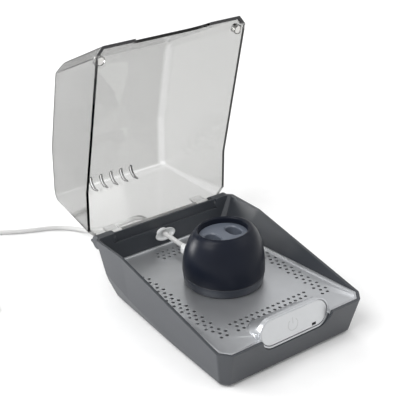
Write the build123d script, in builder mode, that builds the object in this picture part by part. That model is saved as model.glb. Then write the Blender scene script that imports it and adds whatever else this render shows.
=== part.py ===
from build123d import *
from math import atan2, ceil, cos, pi, radians, sin, sqrt, tan
import os

os.makedirs("parts", exist_ok=True)

# Desktop hearing aid dryer: a wedge-shaped base with a perforated metal tray, a clear lid
# hinged at the back, and a charging dock that stands on the tray with its own lead.
# Millimetres. +X is the user's right, +Y the back, +Z up, and Z = 0 is the table.
# The lid is drawn closed and written standing open, which is its rest pose.
# Distances "from the front" run backwards from the front edge of the rim.

# ---------------------------------------------------------------- driving sizes
# base shell
RIM_HALF = 60.0            # half the width across the rim
BASE_LENGTH = 144.5        # front rim to rear rim
FOOT_HEIGHT = 1.0
RIM_FRONT_Z = 28.2
RIM_REAR_Z = 48.0
RIM_LEVEL_FROM = 110.4     # from the front: where the sloping rim turns level
CORNER_ACROSS = 6.3        # cut corner at the front, along X
CORNER_ALONG = 7.7         # and along Y
REAR_CORNER = 3.0
SIDE_DRAFT = 11.0          # degrees that the base's sides lean in on the way down
FRONT_DRAFT = 13.0
REAR_DRAFT = 4.2
REAR_CREASE_Z = 22.3       # height of the crease round the back
REAR_FACET = 21.0          # degrees that the facet under the crease leans in
SIDE_FACET_INSET = 12.2    # rim to bottom edge at the rear corner
SIDE_CREASE_START = 49.0   # from the front: where the side crease leaves the bottom
RIM_WALL = 2.0             # width of the rim's top
BASE_CORNER_R = 3.0
BASE_BOTTOM_R = 3.5

# basin above the tray and bay below it
BASIN_SIDE_DRAFT = 25.0
BASIN_REAR_DRAFT = 7.0
BAY_FRONT = 14.0
BAY_REAR = 124.0
BAY_HALF_FRONT = RIM_HALF - 12.5
BAY_HALF_REAR = RIM_HALF - 21.0
COVER_MARGIN = 2.2         # the bottom cover's overlap onto the bay's edge
COVER_THICK = 2.0
COVER_GAP = 0.2
REAR_RECESS_HALF = RIM_HALF - 15.0
REAR_RECESS_DROP = 7.2     # below the rear rim
REAR_RECESS_DEPTH = 0.6
CUT_PAST = 1.0             # how far a cut is drawn past the surface it starts from

# tray
TRAY_TOP = 27.0            # top of the tray plate above the table
TRAY_PLATE = 1.2
TRAY_GAP = 0.3             # tray to basin wall
LIP_HEIGHT = 1.3           # above the plate's top
LIP_WALL = 1.2
HOLE_D = 1.8
HOLE_PITCH_X = 4.5
HOLE_PITCH_Y = 4.25
HOLE_ROW_0 = 30.4          # from the front: the first full row of holes
REAR_ROW = 123.6           # from the front: the first row of the rear field

# raised button housing formed in the tray's front edge
PANEL_LEAN = 8.0           # degrees that the panel leans back from upright
PANEL_BACK = 4.2           # from the front, at the panel's centre
PANEL_Z = 29.2
HUMP_WIDTH = 58.0
HUMP_HEIGHT = 20.2
HUMP_WALL = 1.2
HUMP_COLLAR = 3.2          # depth of the straight collar round the button
HUMP_END = 24.4            # from the front: where the roof runs into the plate
HUMP_NARROWING = 0.6       # on each side, from the collar to the roof's end
NOTCH_GAP = 0.4            # housing to the base's notch
BUTTON_GAP = 0.3
BUTTON_THICK = 2.0
BUTTON_FACE = 1.2          # plastic left over the hollow of the button
BUTTON_SKIRT = 1.4
BUTTON_SET = 0.3           # face below the collar's edge
BUTTON_TRAVEL = 0.8
BUTTON_EDGE_R = 0.35
STEM_D = 5.0
STEM_LENGTH = 3.1
PLUNGER_D = 3.2
PLUNGER_OUT = 1.0          # plunger standing out of the switch
PLUNGER_IN = 1.2
PLUNGER_PLAY = 0.08
SWITCH_SIDE = 6.0
SWITCH_DEPTH = 3.6
BUTTON_BOARD_WIDTH = 26.0
BUTTON_BOARD_HEIGHT = 18.6
BUTTON_BOARD_THICK = 1.2
BUTTON_BOARD_TOP = 4.2     # above the panel's centre line
BOARD_SLOT_GAP = 0.1
BOARD_SLOT_DEPTH = 1.6
WINDOW_WIDTH = 3.4
WINDOW_HEIGHT = 1.8
WINDOW_X = 16.0
WINDOW_DOWN = 6.6          # below the panel's centre
WINDOW_GAP = 0.05

# lid
LID_GAP = 0.3              # closed lid to rim
LID_WALL = 2.0
LID_SIDE_DRAFT = 9.6
LID_FRONT_LEAN = 25.4
LID_FRONT_SET = 1.5        # front wall of the lid behind the front rim's edge
LID_REAR_LEAN = 2.8
LID_REAR_SET = 2.5         # rear wall of the lid behind the rear rim's edge
LID_REAR_CORNER = 6.9      # cut corner at the lid's rear
LID_CORNER_LEAN = 22.5
LID_REAR_CORNER_LEAN = 5.0
LID_TOP_Z = 113.3          # level part of the roof above the table
LID_LEVEL_FROM = 101.4     # from the front: where the roof turns level
LID_ROOF_FALL = 11.13      # degrees that the front part of the roof falls forward
LID_FRONT_R = 20.0
LID_REAR_R = 9.0
LID_EDGE_R = 1.2
ARCH_GAP = 1.0             # lid's arch to the button housing
OPEN_ANGLE = 89.2

# hinge
HINGE_BACK = 147.0         # axis, from the front
HINGE_Z = 43.0
EAR_R = 3.4
EAR_INNER = RIM_HALF - 16.6   # base ear, from the middle
EAR_WIDTH = 13.2
STOP_REACH = 7.2           # stop toe behind the axis
STOP_CLEAR = 0.35
LUG_R = 3.0
LUG_GAP = 0.4
LUG_WIDTH = 9.6
LUG_RISE = 13.5            # lug arm above the axis
PIN_R = 1.3
PIN_PLAY = 0.05
WALL_CLEAR = 0.35          # turning lug to base wall

# lid vents
VENT_COUNT = 5
VENT_PITCH = 9.05
VENT_LENGTH = 11.7
VENT_WIDTH = 2.0
VENT_TURN = 58.0           # degrees from upright to flat that the vents are cut at
VENT_BELOW = 6.7           # vents' middle below the roof's sharp rear corner
VENT_SHIFT = -1.2          # and down along the rounded edge

# catch magnets
MAGNET_R = 2.6
MAGNET_THICK = 2.4
MAGNET_X = RIM_HALF - 4.6  # the lid's magnets from the middle
CATCH_X = RIM_HALF - 6.4   # the base's magnets from the middle
MAGNET_BACK = 12.2         # from the front
MAGNET_RAISE = 1.2         # lid magnet's face above the lid's rim
MAGNET_GAP = 0.05
BOSS_WALL = 0.8
BOSS_HEIGHT = 3.8

# feet, screws and what is inside the base
FOOT_R = 5.0
FOOT_SINK = 0.8
FOOT_EDGE = 0.4
FOOT_X = RIM_HALF - 23.0
FOOT_FRONT = 22.0
FOOT_REAR = 113.0
SCREW_FRONT = 38.0
SCREW_REAR = 100.0
SCREW_INSET = 1.6          # screw's axis inside the bay's wall
SCREW_R = 1.4
SCREW_GAP = 0.1
SCREW_LENGTH = 9.0
SCREW_HEAD_R = 2.6
SCREW_HEAD_H = 1.2
BOSS_R = 3.6
FAN_SIDE = 40.0
FAN_CORNER_R = 3.0
FAN_DEPTH = 10.0
FAN_BACK = 50.0
FAN_BORE_R = 18.6
FAN_SCREW_PITCH = 32.0
FAN_HOLE_R = 1.6
FAN_STAND = 2.4
FAN_POST_R = 1.5
FAN_STRUT = 2.0
MOTOR_PLATE = 1.6
MOTOR_R = 8.6
STATOR_R = 5.6
STATOR_H = 4.6
SHAFT_R = 1.0
SHAFT_PLAY = 0.05
HUB_R = 8.0
HUB_WALL = 1.2
HUB_H = 7.0
HUB_LIFT = 0.4             # hub above the motor plate
BLADE_TIP_R = 17.9
BLADE_COUNT = 7
BLADE_CHORD = 9.4
BLADE_THICK = 1.0
BLADE_ROOT_PITCH = 44.0
BLADE_TIP_PITCH = 28.0
BRACKET_THICK = 1.0
BRACKET_TAB = 5.0
HEATER_LENGTH = 36.0
HEATER_WIDTH = 26.0
HEATER_HEIGHT = 6.4
HEATER_BAR = 3.0
HEATER_FINS = 9
HEATER_FIN = 1.0
BOARD_LENGTH = 62.0
BOARD_WIDTH = 30.0
BOARD_THICK = 1.6
BOARD_BACK = 98.0          # board's centre from the front
BOARD_STAND = 5.0
BOARD_PEG_R = 2.2
BOARD_PEG_INSET = 3.5

# supply inlet
INLET_X = 24.0
INLET_Z = 13.0
INLET_SIDE = 10.0
INLET_GAP = 0.15
INLET_LENGTH = 11.0
INLET_BACK = 134.6         # shoulder of the inlet from the front
INLET_NOSE_R = 4.0
INLET_NOSE = 2.6
INLET_BORE_R = 2.75
INLET_PIN_R = 1.0
INLET_DEPTH = 9.0

# dock
DOCK_BACK = 77.4           # dock's axis from the front
DOCK_LIFT = 0.3            # running clearance above the tray
DOCK_FOOT_R = 25.8
DOCK_R = 27.6
DOCK_SEAM = 6.5            # height of the seam between ring and body
DOCK_SEAM_STEP = 0.5
DOCK_LOW_Z = 13.4
DOCK_LOW = (28.5, 28.1)    # half length along X and half width along Y
DOCK_MID_Z = 20.3
DOCK_MID = (28.2, 27.2)
DOCK_UPPER_Z = 27.0
DOCK_UPPER = (27.0, 25.3)
DOCK_SHOULDER_Z = 33.0
DOCK_SHOULDER = (24.6, 22.4)
DOCK_HEIGHT = 38.4
DOCK_CROWN = (19.9, 17.2)
DOCK_CROWN_R = 2.0
DOCK_WALL = 2.4
DOCK_FLOOR = 2.0
WELL = (17.6, 14.9)
WELL_DEPTH = 4.4
CRADLE_GAP = 0.2
CRADLE_THICK = 12.0
CRADLE_FLANGE = 2.0
CRADLE_FLANGE_T = 2.0
SOCKET_SPACING = 17.6
SOCKET_LENGTH = 13.0       # along Y
SOCKET_WIDTH = 8.6
SOCKET_DEPTH = 8.0
SOCKET_EDGE = 0.8
CONTACT_R = 0.7
CONTACT_PITCH = 4.6
CONTACT_RISE = 0.8         # above the socket's floor
CONTACT_GAP = 0.1
DOCK_BOARD_R = 19.0
DOCK_BOARD_T = 1.6
DOCK_BOARD_GAP = 0.4       # board to cradle
DOCK_PEG_R = 2.0
DOCK_PEG_RING = 14.5
DOCK_TRAVEL = 20.0

# dock lead, plug and wall grommet
CORD_D = 3.5
PLUG_X = -2.6
PLUG_Z = 34.6
PLUG_WIDTH = 10.0
PLUG_HEIGHT = 6.6
PLUG_CORNER_R = 2.2
PLUG_LENGTH = 12.0
PLUG_NECK_R = 2.7
PLUG_NECK = 3.0
PLUG_FACE_BACK = 104.2     # plug's front face, from the front
PLUG_POCKET_GAP = 0.4
TIP_WIDTH = 8.2
TIP_HEIGHT = 2.5
TIP_LENGTH = 6.4
TIP_WALL = 0.4
TIP_GAP = 0.2
RECEPTACLE_WIDTH = 10.4
RECEPTACLE_HEIGHT = 5.0
RECEPTACLE_LENGTH = 6.0
RECEPTACLE_SET = 3.8       # receptacle's mouth in front of the plug's face
LEAD_STRAIGHT = 4.6        # straight end of the lead at the plug and at the grommet
GROMMET_X = -5.2
GROMMET_Z = 37.4
GROMMET_NECK = (4.5, 3.0)  # half length along X and half height
GROMMET_FLARE = (8.5, 4.8)
GROMMET_REACH = 4.4
GROMMET_DISH = 2.4
GROMMET_EDGE = 0.9
GROMMET_HOLE_GAP = 0.1
GROMMET_CAP_R = 5.4
GROMMET_CAP_T = 1.6
SLEEVE_R = 3.3
SLEEVE_END_R = 2.5
SLEEVE_LENGTH = 12.0

# free cord
BEND_SHARE = 0.45          # of the shorter run, taken up by a corner's arc
TURNS_IN = 2.5             # turns of the lower layer
TURNS_OUT = 2.333          # turns of the upper layer
CORD_TURN_GAP = 0.6
COIL_LEAD_IN = 12.0        # straight run on to and off the coil
COIL_MEAN_R = 19.5
COIL_CENTRE = (-110.0, 159.7)
COIL_START = 60.0          # degrees round the coil where the cord comes in
COIL_STEPS = 4             # biarcs a turn
USB_LENGTH = 19.0
USB_WIDTH = 15.4
USB_THICK = 7.6
USB_CORNER_R = 2.0
USB_NECK_R = 2.6
USB_NECK = 5.0
SHELL_WIDTH = 12.0
SHELL_THICK = 4.5
SHELL_WALL = 0.4
SHELL_OUT = 12.0
SHELL_IN = 3.0             # length of the metal shell inside the moulding
SHELL_GAP = 0.05
BLADE_HEIGHT = 1.8         # plastic blade inside the shell

# ---------------------------------------------------------------- derived places
# The origin is under the middle of the open dryer: half way from the front rim to the
# back of the raised lid.
FRONT_Y = -(HINGE_BACK + LID_TOP_Z - HINGE_Z) / 2


def from_front(distance):
    """Y of a point at a distance behind the front edge of the rim."""
    return FRONT_Y + distance


REAR_Y = from_front(BASE_LENGTH)
KINK_Y = from_front(RIM_LEVEL_FROM)
HINGE_Y = from_front(HINGE_BACK)
DOCK_Y = from_front(DOCK_BACK)
DOCK_Z = TRAY_TOP + DOCK_LIFT
BASE_BOTTOM = FOOT_HEIGHT
COVER_TOP = BASE_BOTTOM + COVER_THICK
TRAY_BOTTOM = TRAY_TOP - TRAY_PLATE
RIM_SLOPE = atan2(RIM_REAR_Z - RIM_FRONT_Z, RIM_LEVEL_FROM - CORNER_ALONG)
LEVEL_RUN = Vector(0, 1, 0)
RIM_RUN = Vector(0, cos(RIM_SLOPE), sin(RIM_SLOPE))
RIM_UP = Vector(0, -sin(RIM_SLOPE), cos(RIM_SLOPE))
HINGE_AXIS = Axis((0, HINGE_Y, HINGE_Z), (1, 0, 0))
PANEL = Plane(origin=(0, from_front(PANEL_BACK), PANEL_Z), x_dir=(1, 0, 0),
              z_dir=(0, -cos(radians(PANEL_LEAN)), sin(radians(PANEL_LEAN))))


def rim_height(distance):
    """Height of the base's rim at a distance from the front."""
    slope = RIM_FRONT_Z + (distance - CORNER_ALONG) * tan(RIM_SLOPE)
    return min(RIM_REAR_Z, max(RIM_FRONT_Z, slope))


def bay_half(distance):
    """Half the width of the bay under the tray at a distance from the front."""
    share = (distance - BAY_FRONT) / (BAY_REAR - BAY_FRONT)
    return BAY_HALF_FRONT + share * (BAY_HALF_REAR - BAY_HALF_FRONT)


def wall_plane(point, run, lean, facing):
    """Plane of a moulded wall through point, along run, leaning in by lean degrees.

    facing is +1 for a wall that leans in on the way up and -1 on the way down, and the
    plane's normal points out of the body.
    """
    outward = run.cross(Vector(0, 0, 1)).normalized()
    lean = radians(lean)
    normal = outward * cos(lean) - run.cross(outward) * (facing * sin(lean))
    return Plane(origin=point, z_dir=normal)


def side_planes(inset, lean, facing):
    """Planes of the right side along the sloping and the level rim."""
    corner = (RIM_HALF - inset, KINK_Y, RIM_REAR_Z)
    return [wall_plane(corner, RIM_RUN, lean, facing),
            wall_plane(corner, LEVEL_RUN, lean, facing)]


def corner_planes(inset, lean_front, lean_rear, rear_start, facing):
    """Planes of the cut corners at the front and rear of the right half.

    rear_start is the Y at which the rear one leaves the side, at the height of the rear rim.
    """
    front_run = Vector(CORNER_ACROSS, CORNER_ALONG, 0).normalized()
    front_out = front_run.cross(Vector(0, 0, 1))
    front = Vector(RIM_HALF, from_front(CORNER_ALONG), RIM_FRONT_Z) - front_out * inset
    rear_run = Vector(-1, 1, 0).normalized()
    rear_out = rear_run.cross(Vector(0, 0, 1))
    rear = Vector(RIM_HALF, rear_start, RIM_REAR_Z) - rear_out * inset
    return [wall_plane(front, front_run, lean_front, facing),
            wall_plane(rear, rear_run, lean_rear, facing)]


def beyond_side(inset, lean):
    """All that lies outside a right side which narrows on the way down."""
    sloping, level = side_planes(inset, lean, -1)
    with BuildPart() as beyond:
        with Locations((RIM_HALF, 0, RIM_REAR_Z)):
            Box(RIM_HALF, 3 * BASE_LENGTH, 3 * RIM_REAR_Z)
        split(bisect_by=sloping, keep=Keep.TOP)
        split(bisect_by=level, keep=Keep.TOP)
    return beyond.part


def basin_space(low, high, inset):
    """Space between the basin's walls from one height to another, drawn in by inset."""
    side = beyond_side(RIM_WALL + inset, BASIN_SIDE_DRAFT)
    corners = corner_planes(RIM_WALL + inset, FRONT_DRAFT, BASIN_SIDE_DRAFT,
                            REAR_Y - REAR_CORNER, -1)
    rear = REAR_Y - RIM_WALL - inset
    lean = tan(radians(BASIN_REAR_DRAFT))
    with BuildPart() as space:
        with BuildSketch(Plane.YZ):
            with BuildLine():
                Polyline((from_front(RIM_WALL) + inset, low),
                         (from_front(RIM_WALL) + inset, high),
                         (rear - (RIM_REAR_Z - high) * lean, high),
                         (rear - (RIM_REAR_Z - low) * lean, low), close=True)
            make_face()
        extrude(amount=RIM_HALF)
        add(side, mode=Mode.SUBTRACT)
        for plane in corners:
            split(bisect_by=plane, keep=Keep.BOTTOM)
        mirror(about=Plane.YZ)
    return space.part


def export(part, name):
    """Label one finished piece and write it."""
    part.label = name
    export_step(part, f"parts/{name}.step")
    print(f"{name}: {len(part.solids())} solid(s), {part.volume:.0f} mm3")


def swung_open(closed):
    """A piece of the closed lid with the lid standing open."""
    return closed.rotate(HINGE_AXIS, -OPEN_ANGLE)


# ---------------------------------------------------------------- base shell
FRONT_FOOT_Y = FRONT_Y + (RIM_FRONT_Z - BASE_BOTTOM) * tan(radians(FRONT_DRAFT))
REAR_CREASE_Y = REAR_Y - (RIM_REAR_Z - REAR_CREASE_Z) * tan(radians(REAR_DRAFT))
REAR_FOOT_Y = REAR_CREASE_Y - (REAR_CREASE_Z - BASE_BOTTOM) * tan(radians(REAR_FACET))
SIDE_LEAN = tan(radians(SIDE_DRAFT))


def rear_wall_y(height):
    """Y of the base's outer rear wall above the crease."""
    return REAR_Y - (RIM_REAR_Z - height) * tan(radians(REAR_DRAFT))


def basin_rear_y(height):
    """Y of the basin's rear wall at a height."""
    return REAR_Y - RIM_WALL - (RIM_REAR_Z - height) * tan(radians(BASIN_REAR_DRAFT))


def side_facet_plane():
    """The lower facet that widens towards the back of each side."""
    crease_x = RIM_HALF - (RIM_REAR_Z - REAR_CREASE_Z) * SIDE_LEAN
    rear_crease = Vector(crease_x, REAR_CREASE_Y, REAR_CREASE_Z)
    start_x = RIM_HALF - (rim_height(SIDE_CREASE_START) - BASE_BOTTOM) * SIDE_LEAN
    start = Vector(start_x, from_front(SIDE_CREASE_START), BASE_BOTTOM)
    rear_foot = Vector(RIM_HALF - SIDE_FACET_INSET, REAR_FOOT_Y, BASE_BOTTOM)
    normal = (rear_foot - start).cross(rear_crease - start)
    return Plane(origin=start, z_dir=normal if normal.X > 0 else -normal)


LUG_INNER = EAR_INNER - LUG_GAP - LUG_WIDTH
LID_REAR_Y = REAR_Y + LID_REAR_SET
EAR_RISE = RIM_REAR_Z - HINGE_Z
STOP_TOP = HINGE_Z + (HINGE_Y - LID_REAR_Y) - STOP_CLEAR
OUTSIDE = beyond_side(0, SIDE_DRAFT)
BASIN = basin_space(TRAY_BOTTOM, RIM_REAR_Z + RIM_WALL, 0)
MAGNET_Y = from_front(MAGNET_BACK)
NOTCH_DEPTH = HUMP_COLLAR + NOTCH_GAP
SWITCH_FACE = BUTTON_SET + BUTTON_THICK + STEM_LENGTH + PLUNGER_OUT
BUTTON_BOARD_DEPTH = SWITCH_FACE + SWITCH_DEPTH
BUTTON_BOARD_MIDDLE = BUTTON_BOARD_TOP - BUTTON_BOARD_HEIGHT / 2
CARD_WIDTH = BUTTON_BOARD_WIDTH + 2 * BOARD_SLOT_GAP
CARD_THICK = BUTTON_BOARD_THICK + 2 * BOARD_SLOT_GAP
POCKET_WIDTH = BUTTON_BOARD_WIDTH - 2 * BOARD_SLOT_DEPTH
SCREW_PLACES = [(side * (bay_half(back) - SCREW_INSET), from_front(back))
                for back in (SCREW_FRONT, SCREW_REAR) for side in (-1, 1)]


def bay_corners(margin):
    """Corners of the bay's plan, widened all round by margin."""
    front = from_front(BAY_FRONT) - margin
    rear = from_front(BAY_REAR) + margin
    return [(-BAY_HALF_FRONT - margin, front), (BAY_HALF_FRONT + margin, front),
            (BAY_HALF_REAR + margin, rear), (-BAY_HALF_REAR - margin, rear)]


with BuildPart() as base_shell:
    with BuildSketch(Plane.YZ):
        with BuildLine():
            Polyline((FRONT_Y, RIM_FRONT_Z), (from_front(CORNER_ALONG), RIM_FRONT_Z),
                     (KINK_Y, RIM_REAR_Z), (REAR_Y, RIM_REAR_Z),
                     (REAR_CREASE_Y, REAR_CREASE_Z), (REAR_FOOT_Y, BASE_BOTTOM),
                     (FRONT_FOOT_Y, BASE_BOTTOM), close=True)
        make_face()
    extrude(amount=RIM_HALF)
    add(OUTSIDE, mode=Mode.SUBTRACT)
    for plane in corner_planes(0, FRONT_DRAFT, SIDE_DRAFT, REAR_Y - REAR_CORNER, -1):
        split(bisect_by=plane, keep=Keep.BOTTOM)
    split(bisect_by=side_facet_plane(), keep=Keep.BOTTOM)
    mirror(about=Plane.YZ)
    # Rounded corners at the front, then the bottom edge.
    fillet([edge for edge in edges() if edge.center().Y < from_front(2 * CORNER_ALONG)
            and abs(edge.tangent_at(0.5).Z) > 0.8], radius=BASE_CORNER_R)
    fillet(faces().sort_by(Axis.Z)[0].edges(), radius=BASE_BOTTOM_R)
    # The basin, with the shallow recess across its rear wall.
    add(BASIN, mode=Mode.SUBTRACT)
    with BuildSketch(Plane.XZ.offset(-basin_rear_y(RIM_REAR_Z) + CUT_PAST)):
        with Locations((0, RIM_REAR_Z)):
            Rectangle(2 * REAR_RECESS_HALF, 2 * REAR_RECESS_DROP)
    extrude(amount=-CUT_PAST - REAR_RECESS_DEPTH, mode=Mode.SUBTRACT)
    # The bay under the tray, with its screw bosses, and the seat of the bottom cover.
    with BuildSketch(Plane.XY.offset(COVER_TOP)):
        Polygon(*bay_corners(0), align=None)
        with Locations(*SCREW_PLACES):
            Circle(BOSS_R, mode=Mode.SUBTRACT)
    extrude(amount=TRAY_BOTTOM - COVER_TOP, mode=Mode.SUBTRACT)
    with BuildSketch(Plane.XY.offset(BASE_BOTTOM)):
        Polygon(*bay_corners(COVER_MARGIN + COVER_GAP), align=None)
    extrude(amount=COVER_THICK, mode=Mode.SUBTRACT)
    with BuildSketch(Plane.XY.offset(COVER_TOP)):
        with Locations(*SCREW_PLACES):
            Circle(SCREW_R + SCREW_GAP)
    extrude(amount=SCREW_LENGTH - COVER_THICK + CUT_PAST, mode=Mode.SUBTRACT)
    # Notch in the front wall for the button housing, and the pocket behind it.
    with BuildSketch(PANEL.offset(-NOTCH_DEPTH)):
        SlotOverall(HUMP_WIDTH + 2 * NOTCH_GAP, HUMP_HEIGHT + 2 * NOTCH_GAP)
    extrude(amount=NOTCH_DEPTH + 3 * PANEL_BACK, mode=Mode.SUBTRACT)
    with BuildSketch(PANEL.offset(-BAY_FRONT)):
        with Locations((0, BUTTON_BOARD_MIDDLE)):
            Rectangle(POCKET_WIDTH, BUTTON_BOARD_HEIGHT)
    extrude(amount=BAY_FRONT - HUMP_COLLAR, mode=Mode.SUBTRACT)
    with BuildSketch(PANEL.offset(-BUTTON_BOARD_DEPTH - BUTTON_BOARD_THICK - BOARD_SLOT_GAP)):
        with Locations((0, BUTTON_BOARD_MIDDLE)):
            Rectangle(CARD_WIDTH, BUTTON_BOARD_HEIGHT)
    extrude(amount=CARD_THICK, mode=Mode.SUBTRACT)
    # Catch magnet pockets under the tray's front corners.
    with BuildSketch(Plane.XY.offset(TRAY_BOTTOM)):
        with Locations((-CATCH_X, MAGNET_Y), (CATCH_X, MAGNET_Y)):
            Circle(MAGNET_R + MAGNET_GAP)
    extrude(amount=-MAGNET_THICK, mode=Mode.SUBTRACT)
    # Oval hole for the lead's grommet.
    with BuildSketch(Plane.XZ.offset(-basin_rear_y(TRAY_BOTTOM) + CUT_PAST)):
        with Locations((GROMMET_X, GROMMET_Z)):
            Ellipse(GROMMET_NECK[0] + GROMMET_HOLE_GAP, GROMMET_NECK[1] + GROMMET_HOLE_GAP)
    extrude(amount=-REAR_Y + basin_rear_y(TRAY_BOTTOM) - 2 * CUT_PAST, mode=Mode.SUBTRACT)
    # Supply inlet: a square tunnel out of the bay and a round mouth.
    with BuildSketch(Plane.XZ.offset(-from_front(BAY_REAR) + CUT_PAST)):
        with Locations((INLET_X, INLET_Z)):
            Rectangle(INLET_SIDE + 2 * INLET_GAP, INLET_SIDE + 2 * INLET_GAP)
    extrude(amount=-(INLET_BACK - BAY_REAR) - CUT_PAST, mode=Mode.SUBTRACT)
    with BuildSketch(Plane.XZ.offset(-from_front(INLET_BACK) + CUT_PAST)):
        with Locations((INLET_X, INLET_Z)):
            Circle(INLET_NOSE_R + INLET_GAP)
    extrude(amount=-(BASE_LENGTH - INLET_BACK) - CUT_PAST, mode=Mode.SUBTRACT)
    # Hinge ears, each with a toe that the open lid comes to rest on.
    with BuildSketch(Plane.YZ.offset(EAR_INNER)):
        with BuildLine():
            Polyline((rear_wall_y(HINGE_Z - EAR_R) - RIM_WALL / 2, HINGE_Z - EAR_R),
                     (HINGE_Y, HINGE_Z - EAR_R),
                     (HINGE_Y + STOP_REACH, HINGE_Z - EAR_R / 2),
                     (HINGE_Y + STOP_REACH, STOP_TOP), (HINGE_Y, STOP_TOP),
                     (HINGE_Y, RIM_REAR_Z), (REAR_Y - RIM_WALL / 2, RIM_REAR_Z), close=True)
        make_face()
        with Locations((HINGE_Y, HINGE_Z)):
            Circle(EAR_RISE)
    ear = extrude(amount=EAR_WIDTH)
    mirror(ear, about=Plane.YZ)
    # Bores for the hinge pins, and the wall relieved where the lid's lugs turn.
    with BuildSketch(Plane.YZ.offset(-RIM_HALF)):
        with Locations((HINGE_Y, HINGE_Z)):
            Circle(PIN_R + PIN_PLAY)
    extrude(amount=2 * RIM_HALF, mode=Mode.SUBTRACT)
    with BuildSketch(Plane.YZ.offset(LUG_INNER - LUG_GAP)):
        with Locations((HINGE_Y, HINGE_Z)):
            Circle(LUG_R + WALL_CLEAR)
    relief = extrude(amount=LUG_WIDTH + 2 * LUG_GAP, mode=Mode.SUBTRACT)
    mirror(relief, about=Plane.YZ, mode=Mode.SUBTRACT)

export(base_shell.part, "base_shell")

# ---------------------------------------------------------------- bottom cover and feet
FOOT_PLACES = [(side * FOOT_X, from_front(back))
               for back in (FOOT_FRONT, FOOT_REAR) for side in (-1, 1)]
FAN_Y = from_front(FAN_BACK)
SLOT_LENGTHS = [(-2, 20.0), (-1, 28.0), (0, 30.0), (1, 28.0), (2, 20.0)]
INTAKE_PITCH = 6.4
INTAKE_WIDTH = 2.6
BOARD_Y = from_front(BOARD_BACK)
PEG_X = BOARD_LENGTH / 2 - BOARD_PEG_INSET
PEG_Y = BOARD_WIDTH / 2 - BOARD_PEG_INSET
PEG_PLACES = [(x, BOARD_Y + y) for x in (-PEG_X, PEG_X) for y in (-PEG_Y, PEG_Y)]

with BuildPart() as bottom_cover:
    with BuildSketch(Plane.XY.offset(BASE_BOTTOM)):
        Polygon(*bay_corners(COVER_MARGIN), align=None)
    extrude(amount=COVER_THICK)
    # Intake slots under the fan.
    with BuildSketch(Plane.XY.offset(BASE_BOTTOM)):
        for row, length in SLOT_LENGTHS:
            with Locations((0, FAN_Y + row * INTAKE_PITCH)):
                SlotOverall(length, INTAKE_WIDTH)
    extrude(amount=COVER_THICK, mode=Mode.SUBTRACT)
    # Posts for the fan and the control board.
    with BuildSketch(Plane.XY.offset(COVER_TOP)):
        with Locations((0, FAN_Y)):
            with GridLocations(FAN_SCREW_PITCH, FAN_SCREW_PITCH, 2, 2):
                Circle(FAN_HOLE_R + FAN_POST_R)
    extrude(amount=FAN_STAND)
    with BuildSketch(Plane.XY.offset(COVER_TOP)):
        with Locations((0, FAN_Y)):
            with GridLocations(FAN_SCREW_PITCH, FAN_SCREW_PITCH, 2, 2):
                Circle(FAN_POST_R)
    extrude(amount=FAN_STAND + FAN_DEPTH / 2)
    with BuildSketch(Plane.XY.offset(COVER_TOP)):
        with Locations(*PEG_PLACES):
            Circle(BOARD_PEG_R)
    extrude(amount=BOARD_STAND)
    # Screw holes with seats for the heads, and shallow seats for the feet.
    with Locations(*[(x, y, BASE_BOTTOM) for x, y in SCREW_PLACES]):
        with Locations(Rotation(180, 0, 0)):
            CounterSinkHole(SCREW_R + SCREW_GAP, SCREW_HEAD_R + SCREW_GAP, depth=COVER_THICK)
    with BuildSketch(Plane.XY.offset(BASE_BOTTOM)):
        with Locations(*FOOT_PLACES):
            Circle(FOOT_R)
    extrude(amount=FOOT_SINK, mode=Mode.SUBTRACT)

export(bottom_cover.part, "bottom_cover")

with BuildPart() as rubber_feet:
    with BuildSketch():
        with Locations(*FOOT_PLACES):
            Circle(FOOT_R)
    extrude(amount=FOOT_HEIGHT + FOOT_SINK)
    chamfer(edges().group_by(Axis.Z)[0], length=FOOT_EDGE)

export(rubber_feet.part, "rubber_feet")

with BuildPart() as cover_screws:
    for x, y in SCREW_PLACES:
        with BuildSketch(Plane.XZ.offset(-y)):
            with BuildLine():
                Polyline((x, BASE_BOTTOM), (x + SCREW_HEAD_R, BASE_BOTTOM),
                         (x + SCREW_R, BASE_BOTTOM + SCREW_HEAD_H),
                         (x + SCREW_R, BASE_BOTTOM + SCREW_LENGTH),
                         (x, BASE_BOTTOM + SCREW_LENGTH), close=True)
            make_face()
        revolve(axis=Axis((x, y, 0), (0, 0, 1)))

export(cover_screws.part, "cover_screws")

with BuildPart() as catch_magnets:
    with BuildSketch(Plane.XY.offset(TRAY_BOTTOM)):
        with Locations((-CATCH_X, MAGNET_Y), (CATCH_X, MAGNET_Y)):
            Circle(MAGNET_R)
    extrude(amount=-MAGNET_THICK)

export(catch_magnets.part, "catch_magnets")

with BuildPart() as hinge_pins:
    with BuildSketch(Plane.YZ.offset(LUG_INNER)):
        with Locations((HINGE_Y, HINGE_Z)):
            Circle(PIN_R)
    pin = extrude(amount=EAR_INNER + EAR_WIDTH - LUG_INNER)
    mirror(pin, about=Plane.YZ)

export(hinge_pins.part, "hinge_pins")

# ---------------------------------------------------------------- tray
PANEL_SIN = sin(radians(PANEL_LEAN))
PANEL_COS = cos(radians(PANEL_LEAN))
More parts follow.
